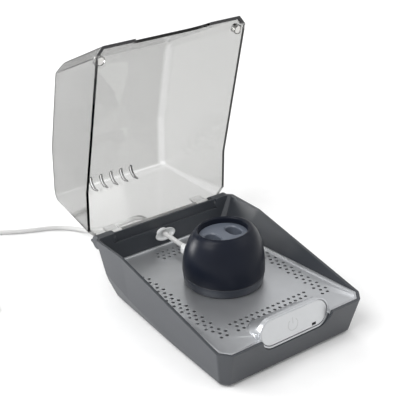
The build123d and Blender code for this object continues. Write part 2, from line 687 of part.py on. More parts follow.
# Depth behind the panel, and drop along it, at which the roof's crest meets the plate.
HUMP_DEPTH = (HUMP_END - PANEL_BACK
              - (TRAY_TOP - PANEL_Z) * tan(radians(PANEL_LEAN))) * PANEL_COS
CREST_END = (TRAY_TOP - PANEL_Z + HUMP_DEPTH * PANEL_SIN) / PANEL_COS
HUMP_FALL = HUMP_HEIGHT / 2 - CREST_END
HOLE_MIDDLE = 14           # hole column on the middle line, counted from the left
SIDE_BANDS = [(-4, range(0, 19, 2)), (-5, range(-1, 22, 2)),
              (-6, range(-2, 17, 2)), (-7, range(1, 14, 2))]
FRONT_ROWS = [(0, range(0, 29, 2)), (-1, range(1, 28, 2)),
              (-2, [0, 2, 4, 24, 26, 28])]
REAR_ROWS = [(0, range(7, 22, 2)), (1, range(6, 23, 2)), (2, range(7, 22, 2))]


def hump_solid(inset, front):
    """The button housing's outer form, or with an inset the space inside it.

    It is a collar round the button and a roof that falls back to the tray's plate.
    """
    width = HUMP_WIDTH - 2 * inset
    height = HUMP_HEIGHT - 2 * inset
    with BuildPart() as hump:
        with BuildSketch(PANEL.offset(-HUMP_COLLAR)):
            SlotOverall(width, height)
        extrude(amount=HUMP_COLLAR + front)
        with BuildSketch(PANEL.offset(-HUMP_COLLAR)):
            SlotOverall(width, height)
        with BuildSketch(PANEL.offset(-HUMP_DEPTH)):
            with Locations((0, -HUMP_FALL)):
                SlotOverall(width - 2 * HUMP_NARROWING, height)
        loft(ruled=True)
    return hump.part


def hole_places():
    """Centres of the tray's holes, in staggered rows and bands."""
    right = 2 * HOLE_MIDDLE
    front = [(column, row) for row, columns in FRONT_ROWS for column in columns]
    left = [(column, row) for column, rows in SIDE_BANDS for row in rows]
    sides = left + [(right - column, row) for column, row in left]
    half_pitch = HOLE_PITCH_X / 2
    places = [((column - HOLE_MIDDLE) * half_pitch, from_front(HOLE_ROW_0) + row * HOLE_PITCH_Y)
              for column, row in front + sides]
    places += [((column - HOLE_MIDDLE) * half_pitch, from_front(REAR_ROW) + row * HOLE_PITCH_Y)
               for row, columns in REAR_ROWS for column in columns]
    return places


TRAY_OUTER = basin_space(TRAY_BOTTOM, TRAY_TOP + LIP_HEIGHT, TRAY_GAP)
TRAY_INNER = basin_space(TRAY_TOP, TRAY_TOP + 2 * LIP_HEIGHT, TRAY_GAP + LIP_WALL)
HUMP_OUTER = hump_solid(0, 0)
HUMP_INNER = hump_solid(HUMP_WALL, PANEL_BACK)

with BuildPart() as hump_skin:
    # The roof stops at the plate, and only the collar goes on below it.
    add(HUMP_OUTER)
    with BuildSketch(PANEL.offset(-HUMP_COLLAR)):
        with Locations((0, -HUMP_HEIGHT)):
            Rectangle(HUMP_WIDTH, 2 * HUMP_HEIGHT)
    cutter = extrude(amount=-2 * HUMP_DEPTH, mode=Mode.PRIVATE)
    below_plate = split(cutter, bisect_by=Plane.XY.offset(TRAY_BOTTOM), keep=Keep.BOTTOM,
                        mode=Mode.PRIVATE)
    add(below_plate, mode=Mode.SUBTRACT)

with BuildPart() as tray:
    add(TRAY_OUTER)
    add(TRAY_INNER, mode=Mode.SUBTRACT)
    # Opening in front of the panel, through the plate and the lip.
    with BuildSketch(PANEL):
        SlotOverall(HUMP_WIDTH, HUMP_HEIGHT)
    extrude(amount=2 * PANEL_BACK, mode=Mode.SUBTRACT)
    add(hump_skin.part)
    add(HUMP_INNER, mode=Mode.SUBTRACT)
    with BuildSketch(Plane.XY.offset(TRAY_TOP)):
        with Locations(*hole_places()):
            Circle(HOLE_D / 2)
    extrude(amount=-TRAY_PLATE, mode=Mode.SUBTRACT)

export(tray.part, "tray")

# ---------------------------------------------------------------- button and its switch
BUTTON_WIDTH = HUMP_WIDTH - 2 * (HUMP_WALL + BUTTON_GAP)
BUTTON_HEIGHT = HUMP_HEIGHT - 2 * (HUMP_WALL + BUTTON_GAP)
BUTTON_BACK = BUTTON_SET + BUTTON_THICK
WINDOW_PLACE = (WINDOW_X, -WINDOW_DOWN)

with BuildPart() as power_button:
    with BuildSketch(PANEL.offset(-BUTTON_SET)):
        SlotOverall(BUTTON_WIDTH, BUTTON_HEIGHT)
    extrude(amount=-BUTTON_THICK)
    fillet(faces().sort_by(Axis(PANEL.origin, PANEL.z_dir))[-1].edges(),
           radius=BUTTON_EDGE_R)
    with BuildSketch(PANEL.offset(-BUTTON_BACK)):
        SlotOverall(BUTTON_WIDTH - 2 * BUTTON_SKIRT, BUTTON_HEIGHT - 2 * BUTTON_SKIRT)
    extrude(amount=BUTTON_THICK - BUTTON_FACE, mode=Mode.SUBTRACT)
    with BuildSketch(PANEL.offset(-BUTTON_SET - BUTTON_FACE)):
        Circle(STEM_D / 2)
    extrude(amount=-(BUTTON_THICK - BUTTON_FACE + STEM_LENGTH))
    with BuildSketch(PANEL.offset(-BUTTON_SET)):
        with Locations(WINDOW_PLACE):
            Rectangle(WINDOW_WIDTH + 2 * WINDOW_GAP, WINDOW_HEIGHT + 2 * WINDOW_GAP)
    extrude(amount=-BUTTON_THICK, mode=Mode.SUBTRACT)

export(power_button.part, "power_button")

with BuildPart() as led_window:
    with BuildSketch(PANEL.offset(-BUTTON_SET)):
        with Locations(WINDOW_PLACE):
            Rectangle(WINDOW_WIDTH, WINDOW_HEIGHT)
    extrude(amount=-BUTTON_THICK)

export(led_window.part, "led_window")

with BuildPart() as switch_plunger:
    with BuildSketch(PANEL.offset(-BUTTON_BACK - STEM_LENGTH)):
        Circle(PLUNGER_D / 2)
    extrude(amount=-PLUNGER_OUT - PLUNGER_IN)

export(switch_plunger.part, "switch_plunger")

with BuildPart() as tact_switch:
    with BuildSketch(PANEL.offset(-SWITCH_FACE)):
        RectangleRounded(SWITCH_SIDE, SWITCH_SIDE, PLUNGER_D / 6)
    extrude(amount=-SWITCH_DEPTH)
    with BuildSketch(PANEL.offset(-SWITCH_FACE)):
        Circle(PLUNGER_D / 2 + PLUNGER_PLAY)
    extrude(amount=-(PLUNGER_IN + 1.5 * BUTTON_TRAVEL), mode=Mode.SUBTRACT)

export(tact_switch.part, "tact_switch")

with BuildPart() as button_board:
    with BuildSketch(PANEL.offset(-BUTTON_BOARD_DEPTH)):
        with Locations((0, BUTTON_BOARD_MIDDLE)):
            Rectangle(BUTTON_BOARD_WIDTH, BUTTON_BOARD_HEIGHT)
    extrude(amount=-BUTTON_BOARD_THICK)

export(button_board.part, "button_board")

# ---------------------------------------------------------------- lid
ROOF_FALL = tan(radians(LID_ROOF_FALL))
FRONT_RUN = tan(radians(LID_FRONT_LEAN))
REAR_RUN = tan(radians(LID_REAR_LEAN))
LID_FRONT_Z = RIM_FRONT_Z + LID_GAP
# Corner where the front wall and the falling roof would meet if it weren't rounded.
LID_CORNER_Z = ((LID_TOP_Z - (LID_LEVEL_FROM - LID_FRONT_SET + LID_FRONT_Z * FRONT_RUN) * ROOF_FALL)
                / (1 - FRONT_RUN * ROOF_FALL))
LID_CORNER = LID_FRONT_SET + (LID_CORNER_Z - LID_FRONT_Z) * FRONT_RUN
LID_LOW_Z = BASE_BOTTOM    # the lid's walls are drawn down to here and then cut


def lid_space(inset):
    """The closed lid's outer form drawn down past the rim, or the space inside it."""
    sides = side_planes(inset, LID_SIDE_DRAFT, 1)
    corners = corner_planes(inset, LID_CORNER_LEAN, LID_REAR_CORNER_LEAN,
                            LID_REAR_Y - LID_REAR_CORNER, 1)
    with BuildPart() as space:
        with BuildSketch(Plane.YZ) as profile:
            with BuildLine():
                Polyline((from_front(LID_FRONT_SET - (LID_FRONT_Z - LID_LOW_Z) * FRONT_RUN), LID_LOW_Z),
                         (from_front(LID_CORNER), LID_CORNER_Z),
                         (from_front(LID_LEVEL_FROM), LID_TOP_Z),
                         (LID_REAR_Y - (LID_TOP_Z - RIM_REAR_Z) * REAR_RUN, LID_TOP_Z),
                         (LID_REAR_Y + (RIM_REAR_Z - LID_LOW_Z) * REAR_RUN, LID_LOW_Z),
                         close=True)
            make_face()
            if inset:
                offset(amount=-inset, kind=Kind.INTERSECTION)
            fillet(vertices().group_by(Axis.Y)[1].sort_by(Axis.X)[0], LID_FRONT_R - inset)
            fillet(vertices().group_by(Axis.Y)[-1].sort_by(Axis.X)[-1], LID_REAR_R - inset)
        extrude(amount=RIM_HALF)
        for plane in sides + corners:
            split(bisect_by=plane, keep=Keep.BOTTOM)
        mirror(about=Plane.YZ)
    return space.part


LID_OUTER = lid_space(0)
LID_INNER = lid_space(LID_WALL)
VENT_TILT = radians(VENT_TURN)
VENT_OUT = Vector(0, cos(VENT_TILT), sin(VENT_TILT))
VENT_DOWN = Vector(0, sin(VENT_TILT), -cos(VENT_TILT))
LID_REAR_TOP = Vector(0, LID_REAR_Y - (LID_TOP_Z - RIM_REAR_Z) * REAR_RUN, LID_TOP_Z)
VENT_PLANE = Plane(origin=LID_REAR_TOP - VENT_OUT * VENT_BELOW + VENT_DOWN * VENT_SHIFT,
                   x_dir=(1, 0, 0), z_dir=VENT_OUT)
BOSS_POINT = Vector(0, MAGNET_Y, rim_height(MAGNET_BACK) + LID_GAP) + RIM_UP * MAGNET_RAISE
BOSS_PLANE = Plane(origin=BOSS_POINT, x_dir=(1, 0, 0), z_dir=RIM_UP)
MAGNET_PAIR = [(-MAGNET_X, 0), (MAGNET_X, 0)]

with BuildPart() as lid_closed:
    add(LID_OUTER)
    ridges = [edge for edge in edges() if edge.center().Z > RIM_REAR_Z
              and abs(edge.center().X) > LID_WALL]
    fillet([edge for edge in ridges if abs(edge.tangent_at(0.5).X) < 0.9
            and not (abs(edge.center().Y - KINK_Y) < LID_FRONT_R
                     and abs(edge.tangent_at(0.5).Z) > 0.8)], radius=LID_EDGE_R)
    add(LID_INNER, mode=Mode.SUBTRACT)
    # Magnet bosses in the front corners.
    with BuildSketch(BOSS_PLANE):
        with Locations(*MAGNET_PAIR):
            Circle(MAGNET_R + BOSS_WALL)
    extrude(amount=BOSS_HEIGHT)
    with BuildSketch(BOSS_PLANE):
        with Locations(*MAGNET_PAIR):
            Circle(MAGNET_R + MAGNET_GAP)
    extrude(amount=MAGNET_THICK, mode=Mode.SUBTRACT)
    # The rim follows the base's rim.
    with BuildSketch(Plane.YZ.offset(-RIM_HALF)):
        with BuildLine():
            Polyline((FRONT_Y - RIM_HALF, LID_FRONT_Z), (from_front(CORNER_ALONG), LID_FRONT_Z),
                     (KINK_Y, RIM_REAR_Z + LID_GAP), (REAR_Y + RIM_HALF, RIM_REAR_Z + LID_GAP),
                     (REAR_Y + RIM_HALF, 0), (FRONT_Y - RIM_HALF, 0), close=True)
        make_face()
    extrude(amount=2 * RIM_HALF, mode=Mode.SUBTRACT)
    # Arch in the front wall, so that the button can be pressed with the lid closed.
    with BuildSketch(PANEL.offset(-HUMP_DEPTH / 2)):
        SlotOverall(HUMP_WIDTH + 2 * ARCH_GAP, HUMP_HEIGHT + 2 * ARCH_GAP)
    extrude(amount=HUMP_DEPTH, mode=Mode.SUBTRACT)
    # Vents across the rounded edge at the back of the roof.
    with BuildSketch(VENT_PLANE.offset(-LID_REAR_R / 2)):
        with GridLocations(VENT_PITCH, 0, VENT_COUNT, 1):
            SlotOverall(VENT_LENGTH, VENT_WIDTH, rotation=90)
    extrude(amount=LID_REAR_R, mode=Mode.SUBTRACT)
    # Hinge lugs, on arms behind the base's rear wall.
    with BuildSketch(Plane.YZ.offset(LUG_INNER)):
        with BuildLine():
            Polyline((REAR_Y + WALL_CLEAR, HINGE_Z),
                     (REAR_Y + WALL_CLEAR, RIM_REAR_Z + LID_GAP),
                     (LID_REAR_Y - LID_WALL / 2, RIM_REAR_Z + LID_GAP),
                     (LID_REAR_Y - LID_WALL / 2, HINGE_Z + LUG_RISE),
                     (LID_REAR_Y, HINGE_Z + LUG_RISE),
                     (HINGE_Y + LUG_R, HINGE_Z + LUG_R), (HINGE_Y + LUG_R, HINGE_Z), close=True)
        make_face()
        with Locations((HINGE_Y, HINGE_Z)):
            Circle(LUG_R)
            Circle(PIN_R + PIN_PLAY, mode=Mode.SUBTRACT)
    lug = extrude(amount=LUG_WIDTH)
    mirror(lug, about=Plane.YZ)

export(swung_open(lid_closed.part), "lid_shell")

with BuildPart() as lid_magnets:
    with BuildSketch(BOSS_PLANE):
        with Locations(*MAGNET_PAIR):
            Circle(MAGNET_R)
    extrude(amount=MAGNET_THICK)

export(swung_open(lid_magnets.part), "lid_magnets")

# ---------------------------------------------------------------- fan under the tray
FAN_Z = COVER_TOP + FAN_STAND
MOTOR_TOP = FAN_Z + MOTOR_PLATE
HUB_Z = MOTOR_TOP + HUB_LIFT
BLADE_LOW = HUB_R - HUB_WALL / 2
BLADE_MIDDLE = HUB_H / 2

with BuildPart() as fan_frame:
    with BuildSketch(Plane.XY.offset(FAN_Z)):
        with Locations((0, FAN_Y)):
            RectangleRounded(FAN_SIDE, FAN_SIDE, FAN_CORNER_R)
            Circle(FAN_BORE_R, mode=Mode.SUBTRACT)
            with GridLocations(FAN_SCREW_PITCH, FAN_SCREW_PITCH, 2, 2):
                Circle(FAN_HOLE_R, mode=Mode.SUBTRACT)
    extrude(amount=FAN_DEPTH)
    # Motor plate on four struts across the intake side.
    with BuildSketch(Plane.XY.offset(FAN_Z)):
        with Locations((0, FAN_Y)):
            Circle(MOTOR_R)
            Rectangle(2 * FAN_BORE_R + HUB_WALL, FAN_STRUT)
            Rectangle(FAN_STRUT, 2 * FAN_BORE_R + HUB_WALL)
    extrude(amount=MOTOR_PLATE)

export(fan_frame.part, "fan_frame")

with BuildPart() as fan_stator:
    with BuildSketch(Plane.XY.offset(MOTOR_TOP)):
        with Locations((0, FAN_Y)):
            Circle(STATOR_R)
    extrude(amount=STATOR_H)
    with BuildSketch(Plane.XY.offset(MOTOR_TOP)):
        with Locations((0, FAN_Y)):
            with PolarLocations(STATOR_R, 4):
                Rectangle(STATOR_R / 2, HUB_WALL)
    extrude(amount=STATOR_H, mode=Mode.SUBTRACT)
    with BuildSketch(Plane.XY.offset(MOTOR_TOP + STATOR_H)):
        with Locations((0, FAN_Y)):
            Circle(SHAFT_R)
    extrude(amount=HUB_LIFT + HUB_H - HUB_WALL - STATOR_H + HUB_WALL / 2)

export(fan_stator.part, "fan_stator")

with BuildPart() as fan_blade:
    # One blade, twisted from root to tip, on the +X side of the axis.
    for reach, pitch in ((BLADE_LOW, BLADE_ROOT_PITCH), (BLADE_TIP_R + 1, BLADE_TIP_PITCH)):
        with BuildSketch(Plane(origin=(reach, FAN_Y, HUB_Z + BLADE_MIDDLE), x_dir=(0, 1, 0),
                               z_dir=(1, 0, 0))):
            SlotOverall(BLADE_CHORD, BLADE_THICK, rotation=pitch)
    loft(ruled=True)
    with BuildSketch(Plane.XY.offset(HUB_Z)):
        with Locations((0, FAN_Y)):
            Circle(BLADE_TIP_R)
    extrude(amount=HUB_H, mode=Mode.INTERSECT)

with BuildPart() as fan_impeller:
    with BuildSketch(Plane.XY.offset(HUB_Z)):
        with Locations((0, FAN_Y)):
            Circle(HUB_R)
    extrude(amount=HUB_H)
    with BuildSketch(Plane.XY.offset(HUB_Z)):
        with Locations((0, FAN_Y)):
            Circle(HUB_R - HUB_WALL)
    extrude(amount=HUB_H - 2 * HUB_WALL, mode=Mode.SUBTRACT)
    for index in range(BLADE_COUNT):
        add(fan_blade.part.rotate(Axis((0, FAN_Y, 0), (0, 0, 1)), index * 360 / BLADE_COUNT))
    with BuildSketch(Plane.XY.offset(HUB_Z)):
        with Locations((0, FAN_Y)):
            Circle(SHAFT_R + SHAFT_PLAY)
    extrude(amount=HUB_H - HUB_WALL / 2 + SHAFT_PLAY, mode=Mode.SUBTRACT)

export(fan_impeller.part, "fan_impeller")

# ---------------------------------------------------------------- heater over the fan
BRACKET_Z = FAN_Z + FAN_DEPTH
HEATER_Z = BRACKET_Z + BRACKET_THICK
FIN_SPAN = HEATER_LENGTH - 2 * HEATER_BAR

with BuildPart() as heater_bracket:
    with BuildSketch(Plane.XY.offset(BRACKET_Z)):
        with Locations((0, FAN_Y)):
            RectangleRounded(FAN_SIDE, FAN_SIDE, FAN_CORNER_R)
            Rectangle(FIN_SPAN, HEATER_WIDTH - 2 * HEATER_BAR, mode=Mode.SUBTRACT)
            with GridLocations(FAN_SCREW_PITCH, FAN_SCREW_PITCH, 2, 2):
                Circle(FAN_HOLE_R, mode=Mode.SUBTRACT)
    extrude(amount=BRACKET_THICK)
    # Two upright tabs hold the element's ends.
    with BuildSketch(Plane.XY.offset(HEATER_Z)):
        with Locations((0, FAN_Y)):
            with GridLocations(HEATER_LENGTH + BRACKET_THICK, 0, 2, 1):
                Rectangle(BRACKET_THICK, BRACKET_TAB)
    extrude(amount=BRACKET_TAB)

export(heater_bracket.part, "heater_bracket")

with BuildPart() as heater_element:
    with BuildSketch(Plane.XY.offset(HEATER_Z)):
        with Locations((0, FAN_Y)):
            Rectangle(HEATER_LENGTH, HEATER_WIDTH)
            Rectangle(FIN_SPAN, HEATER_WIDTH - 2 * HEATER_BAR, mode=Mode.SUBTRACT)
            with GridLocations(FIN_SPAN / (HEATER_FINS + 1), 0, HEATER_FINS, 1):
                Rectangle(HEATER_FIN, HEATER_WIDTH - HEATER_BAR)
    extrude(amount=HEATER_HEIGHT)

export(heater_element.part, "heater_element")

# ---------------------------------------------------------------- control board and inlet
BOARD_Z = COVER_TOP + BOARD_STAND
RELAY = (15.0, 10.0, 8.0)
CAPACITOR_R = 3.2
CAPACITOR_H = 9.0
CHIP = (8.0, 6.0, 1.4)

with BuildPart() as control_board:
    with BuildSketch(Plane.XY.offset(BOARD_Z)):
        with Locations((0, BOARD_Y)):
            RectangleRounded(BOARD_LENGTH, BOARD_WIDTH, BOARD_PEG_R / 2)
    extrude(amount=BOARD_THICK)
    with BuildSketch(Plane.XY.offset(BOARD_Z + BOARD_THICK)):
        with Locations((-BOARD_LENGTH / 4, BOARD_Y)):
            Rectangle(RELAY[0], RELAY[1])
    extrude(amount=RELAY[2])
    with BuildSketch(Plane.XY.offset(BOARD_Z + BOARD_THICK)):
        with Locations((BOARD_LENGTH / 4, BOARD_Y), (BOARD_LENGTH / 8, BOARD_Y)):
            Circle(CAPACITOR_R)
    extrude(amount=CAPACITOR_H)
    with BuildSketch(Plane.XY.offset(BOARD_Z + BOARD_THICK)):
        with Locations((0, BOARD_Y - BOARD_WIDTH / 3)):
            Rectangle(CHIP[0], CHIP[1])
    extrude(amount=CHIP[2])

export(control_board.part, "control_board")

with BuildPart() as power_inlet:
    with BuildSketch(Plane.XZ.offset(-from_front(INLET_BACK))):
        with Locations((INLET_X, INLET_Z)):
            RectangleRounded(INLET_SIDE, INLET_SIDE, INLET_PIN_R)
    extrude(amount=INLET_LENGTH)
    with BuildSketch(Plane.XZ.offset(-from_front(INLET_BACK))):
        with Locations((INLET_X, INLET_Z)):
            Circle(INLET_NOSE_R)
    extrude(amount=-INLET_NOSE)
    with BuildSketch(Plane.XZ.offset(-from_front(INLET_BACK + INLET_NOSE))):
        with Locations((INLET_X, INLET_Z)):
            Circle(INLET_BORE_R)
            Circle(INLET_PIN_R, mode=Mode.SUBTRACT)
    extrude(amount=INLET_DEPTH, mode=Mode.SUBTRACT)

export(power_inlet.part, "power_inlet")

# ---------------------------------------------------------------- dock
SEAM_Z = DOCK_Z + DOCK_SEAM
CROWN_Z = DOCK_Z + DOCK_HEIGHT
WELL_Z = CROWN_Z - WELL_DEPTH
CRADLE_Z = WELL_Z - CRADLE_THICK
CEILING_Z = CRADLE_Z + CRADLE_FLANGE_T
DOCK_SECTIONS = [(SEAM_Z, (DOCK_R, DOCK_R)), (DOCK_Z + DOCK_LOW_Z, DOCK_LOW),
                 (DOCK_Z + DOCK_MID_Z, DOCK_MID), (DOCK_Z + DOCK_UPPER_Z, DOCK_UPPER),
                 (DOCK_Z + DOCK_SHOULDER_Z, DOCK_SHOULDER), (CROWN_Z, DOCK_CROWN)]
CAVITY_SECTIONS = [(SEAM_Z, (DOCK_R, DOCK_R)), (DOCK_Z + DOCK_LOW_Z, DOCK_LOW),
                   (CEILING_Z, DOCK_UPPER)]
DOCK_AXIS = Axis((0, DOCK_Y, 0), (0, 0, 1))
PLUG_FACE_Y = from_front(PLUG_FACE_BACK)
RECEPTACLE_Y = PLUG_FACE_Y - RECEPTACLE_SET
RECEPTACLE_Z = PLUG_Z - RECEPTACLE_HEIGHT / 2
SOCKET_PLACES = [(-SOCKET_SPACING / 2, DOCK_Y), (SOCKET_SPACING / 2, DOCK_Y)]
CONTACT_PLACES = [(x, y + step * CONTACT_PITCH) for x, y in SOCKET_PLACES for step in (-0.5, 0.5)]
DOCK_BOARD_Z = CRADLE_Z - DOCK_BOARD_GAP - DOCK_BOARD_T
PEG_PLACES_ON_RING = [(DOCK_PEG_RING * cos(radians(angle)),
                       DOCK_Y + DOCK_PEG_RING * sin(radians(angle))) for angle in (30, 150, 270)]

with BuildPart() as plug_pocket:
    # Recess in the dock's back for the plug, and the slot for its metal tip.
    with BuildSketch(Plane.XZ.offset(-PLUG_FACE_Y + PLUG_POCKET_GAP)):
        with Locations((PLUG_X, PLUG_Z)):
            RectangleRounded(PLUG_WIDTH + 2 * PLUG_POCKET_GAP, PLUG_HEIGHT + 2 * PLUG_POCKET_GAP,
                             PLUG_CORNER_R)
    extrude(amount=-PLUG_LENGTH)
    with BuildSketch(Plane.XZ.offset(-PLUG_FACE_Y)):
        with Locations((PLUG_X, PLUG_Z)):
            SlotOverall(TIP_WIDTH + 2 * TIP_GAP, TIP_HEIGHT + 2 * TIP_GAP)
    extrude(amount=TIP_LENGTH + TIP_GAP)

with BuildPart() as dock_base_ring:
    with BuildSketch(Plane.XZ.offset(-DOCK_Y)):
        with BuildLine():
            Polyline((0, DOCK_Z), (DOCK_FOOT_R, DOCK_Z), (DOCK_R, SEAM_Z - DOCK_SEAM_STEP),
                     (DOCK_R - DOCK_SEAM_STEP, SEAM_Z), (DOCK_R - DOCK_WALL, SEAM_Z),
                     (DOCK_FOOT_R - DOCK_WALL, DOCK_Z + DOCK_FLOOR), (0, DOCK_Z + DOCK_FLOOR),
                     close=True)
        make_face()
    revolve(axis=DOCK_AXIS)
    add(plug_pocket.part, mode=Mode.SUBTRACT)
    # Pad under the receptacle, and posts for the board.
    with BuildSketch(Plane.XY.offset(DOCK_Z + DOCK_FLOOR)):
        with Locations((PLUG_X, RECEPTACLE_Y - RECEPTACLE_LENGTH / 2)):
            Rectangle(RECEPTACLE_WIDTH, RECEPTACLE_LENGTH)
    extrude(amount=RECEPTACLE_Z - DOCK_Z - DOCK_FLOOR)
    with BuildSketch(Plane.XY.offset(DOCK_Z + DOCK_FLOOR)):
        with Locations(*PEG_PLACES_ON_RING):
            Circle(DOCK_PEG_R)
    extrude(amount=DOCK_BOARD_Z - DOCK_Z - DOCK_FLOOR)

export(dock_base_ring.part, "dock_base_ring")

with BuildPart() as dock_receptacle:
    with BuildSketch(Plane.XZ.offset(-RECEPTACLE_Y)):
        with Locations((PLUG_X, PLUG_Z)):
            RectangleRounded(RECEPTACLE_WIDTH, RECEPTACLE_HEIGHT, TIP_HEIGHT / 2)
    extrude(amount=RECEPTACLE_LENGTH)
    with BuildSketch(Plane.XZ.offset(-RECEPTACLE_Y)):
        with Locations((PLUG_X, PLUG_Z)):
            SlotOverall(TIP_WIDTH + 2 * TIP_GAP, TIP_HEIGHT + 2 * TIP_GAP)
    extrude(amount=TIP_LENGTH - RECEPTACLE_SET + TIP_GAP, mode=Mode.SUBTRACT)

export(dock_receptacle.part, "dock_receptacle")

with BuildPart() as dock_cavity:
    for height, (half_x, half_y) in CAVITY_SECTIONS:
        with BuildSketch(Plane.XY.offset(height)):
            with Locations((0, DOCK_Y)):
                Ellipse(half_x - DOCK_WALL, half_y - DOCK_WALL)
    loft()

with BuildPart() as dock_body:
    for height, (half_x, half_y) in DOCK_SECTIONS:
        with BuildSketch(Plane.XY.offset(height)):
            with Locations((0, DOCK_Y)):
                Ellipse(half_x, half_y)
    loft()
    fillet(faces().sort_by(Axis.Z)[-1].edges(), radius=DOCK_CROWN_R)
    add(dock_cavity.part, mode=Mode.SUBTRACT)
    add(plug_pocket.part, mode=Mode.SUBTRACT)
    # The oval well that the cradle fills from below.
    with BuildSketch(Plane.XY.offset(CEILING_Z)):
        with Locations((0, DOCK_Y)):
            Ellipse(*WELL)
    extrude(amount=CROWN_Z - CEILING_Z, mode=Mode.SUBTRACT)

export(dock_body.part, "dock_body")

with BuildPart() as dock_cradle:
    with BuildSketch(Plane.XY.offset(CRADLE_Z)):
        with Locations((0, DOCK_Y)):
            Ellipse(WELL[0] - CRADLE_GAP, WELL[1] - CRADLE_GAP)
    extrude(amount=CRADLE_THICK)
    with BuildSketch(Plane.XY.offset(CRADLE_Z)):
        with Locations((0, DOCK_Y)):
            Ellipse(WELL[0] + CRADLE_FLANGE, WELL[1] + CRADLE_FLANGE)
    extrude(amount=CRADLE_FLANGE_T)
    with BuildSketch(Plane.XY.offset(WELL_Z)):
        with Locations(*SOCKET_PLACES):
            SlotOverall(SOCKET_LENGTH, SOCKET_WIDTH, rotation=90)
    extrude(amount=-SOCKET_DEPTH, mode=Mode.SUBTRACT)
    mouths = faces().sort_by(Axis.Z)[-1].inner_wires()
    chamfer([edge for mouth in mouths for edge in mouth.edges()], length=SOCKET_EDGE)
    with BuildSketch(Plane.XY.offset(CRADLE_Z)):
        with Locations(*CONTACT_PLACES):
            Circle(CONTACT_R + CONTACT_GAP)
    extrude(amount=CRADLE_THICK, mode=Mode.SUBTRACT)

export(dock_cradle.part, "dock_cradle")

with BuildPart() as charging_contacts:
    with BuildSketch(Plane.XY.offset(DOCK_BOARD_Z + DOCK_BOARD_T)):
        with Locations(*CONTACT_PLACES):
            Circle(CONTACT_R)
    extrude(amount=WELL_Z - SOCKET_DEPTH + CONTACT_RISE - DOCK_BOARD_Z - DOCK_BOARD_T)
    fillet(edges().group_by(Axis.Z)[-1], radius=CONTACT_R / 2)

export(charging_contacts.part, "charging_contacts")

with BuildPart() as dock_board:
    with BuildSketch(Plane.XY.offset(DOCK_BOARD_Z)):
        with Locations((0, DOCK_Y)):
            Circle(DOCK_BOARD_R)
    extrude(amount=DOCK_BOARD_T)

export(dock_board.part, "dock_board")

# ---------------------------------------------------------------- plug, lead and grommet
LEAD_START_Y = PLUG_FACE_Y + PLUG_LENGTH + PLUG_NECK
WALL_INNER_Y = basin_rear_y(GROMMET_Z)
LEAD_END_Y = WALL_INNER_Y - GROMMET_REACH + GROMMET_DISH
LEAD_ROUTE = [(PLUG_X, LEAD_START_Y, PLUG_Z), (PLUG_X, LEAD_START_Y + LEAD_STRAIGHT, PLUG_Z),
              (GROMMET_X, LEAD_END_Y - LEAD_STRAIGHT, GROMMET_Z),
              (GROMMET_X, LEAD_END_Y, GROMMET_Z)]
FLARE_SECTIONS = [(0.0, 0.0), (0.45, 0.14), (0.8, 0.5), (1.0, 1.0)]
CAP_Y = rear_wall_y(GROMMET_Z + GROMMET_CAP_R)
SLEEVE_Y = CAP_Y + GROMMET_CAP_T


def bend_radii(points):
    """Radius at each corner of a cord's route, as large as its two runs allow."""
    radii = []
    for before, corner, after in zip(points, points[1:], points[2:]):
        arrive = Vector(*corner) - Vector(*before)
        leave = Vector(*after) - Vector(*corner)
        turn = radians(arrive.get_angle(leave))
        radii.append(BEND_SHARE * min(arrive.length, leave.length) / tan(turn / 2))
    return radii


def cord_tube(points):
    """Round cord of straight runs joined by tangent arcs."""
    radii = bend_radii(points)
    with BuildPart() as tube:
        with BuildLine() as path:
            FilletPolyline(*points, radius=radii)
        with BuildSketch(Plane(origin=path.line @ 0, z_dir=path.line % 0)):
            Circle(CORD_D / 2)
        sweep(path=path.line)
    length = sum(edge.length for edge in path.edges())
    expected = pi * CORD_D ** 2 / 4 * length
    print(f"tube {length:.1f} mm, least radius {min(radii):.1f} mm, "
          f"volume {tube.part.volume / expected:.4f} of section times length")
    return tube.part


with BuildPart() as dock_plug:
    with BuildSketch(Plane.XZ.offset(-PLUG_FACE_Y)):
        with Locations((PLUG_X, PLUG_Z)):
            RectangleRounded(PLUG_WIDTH, PLUG_HEIGHT, PLUG_CORNER_R)
    extrude(amount=-PLUG_LENGTH)
    fillet(faces().sort_by(Axis.Y)[-1].edges(), radius=PLUG_CORNER_R / 2)
    with BuildSketch(Plane.XZ.offset(-PLUG_FACE_Y - PLUG_LENGTH)):
        with Locations((PLUG_X, PLUG_Z)):
            Circle(PLUG_NECK_R)
    with BuildSketch(Plane.XZ.offset(-LEAD_START_Y)):
        with Locations((PLUG_X, PLUG_Z)):
            Circle(CORD_D / 2 + TIP_WALL / 2)
    loft()

export(dock_plug.part, "dock_plug")

with BuildPart() as dock_plug_tip:
    with BuildSketch(Plane.XZ.offset(-PLUG_FACE_Y)):
        with Locations((PLUG_X, PLUG_Z)):
            SlotOverall(TIP_WIDTH, TIP_HEIGHT)
    extrude(amount=TIP_LENGTH)
    with BuildSketch(Plane.XZ.offset(-PLUG_FACE_Y + TIP_LENGTH)):
        with Locations((PLUG_X, PLUG_Z)):
            SlotOverall(TIP_WIDTH - 2 * TIP_WALL, TIP_HEIGHT - 2 * TIP_WALL)
    extrude(amount=-TIP_LENGTH + TIP_HEIGHT, mode=Mode.SUBTRACT)

export(dock_plug_tip.part, "dock_plug_tip")
export(cord_tube(LEAD_ROUTE), "dock_lead")

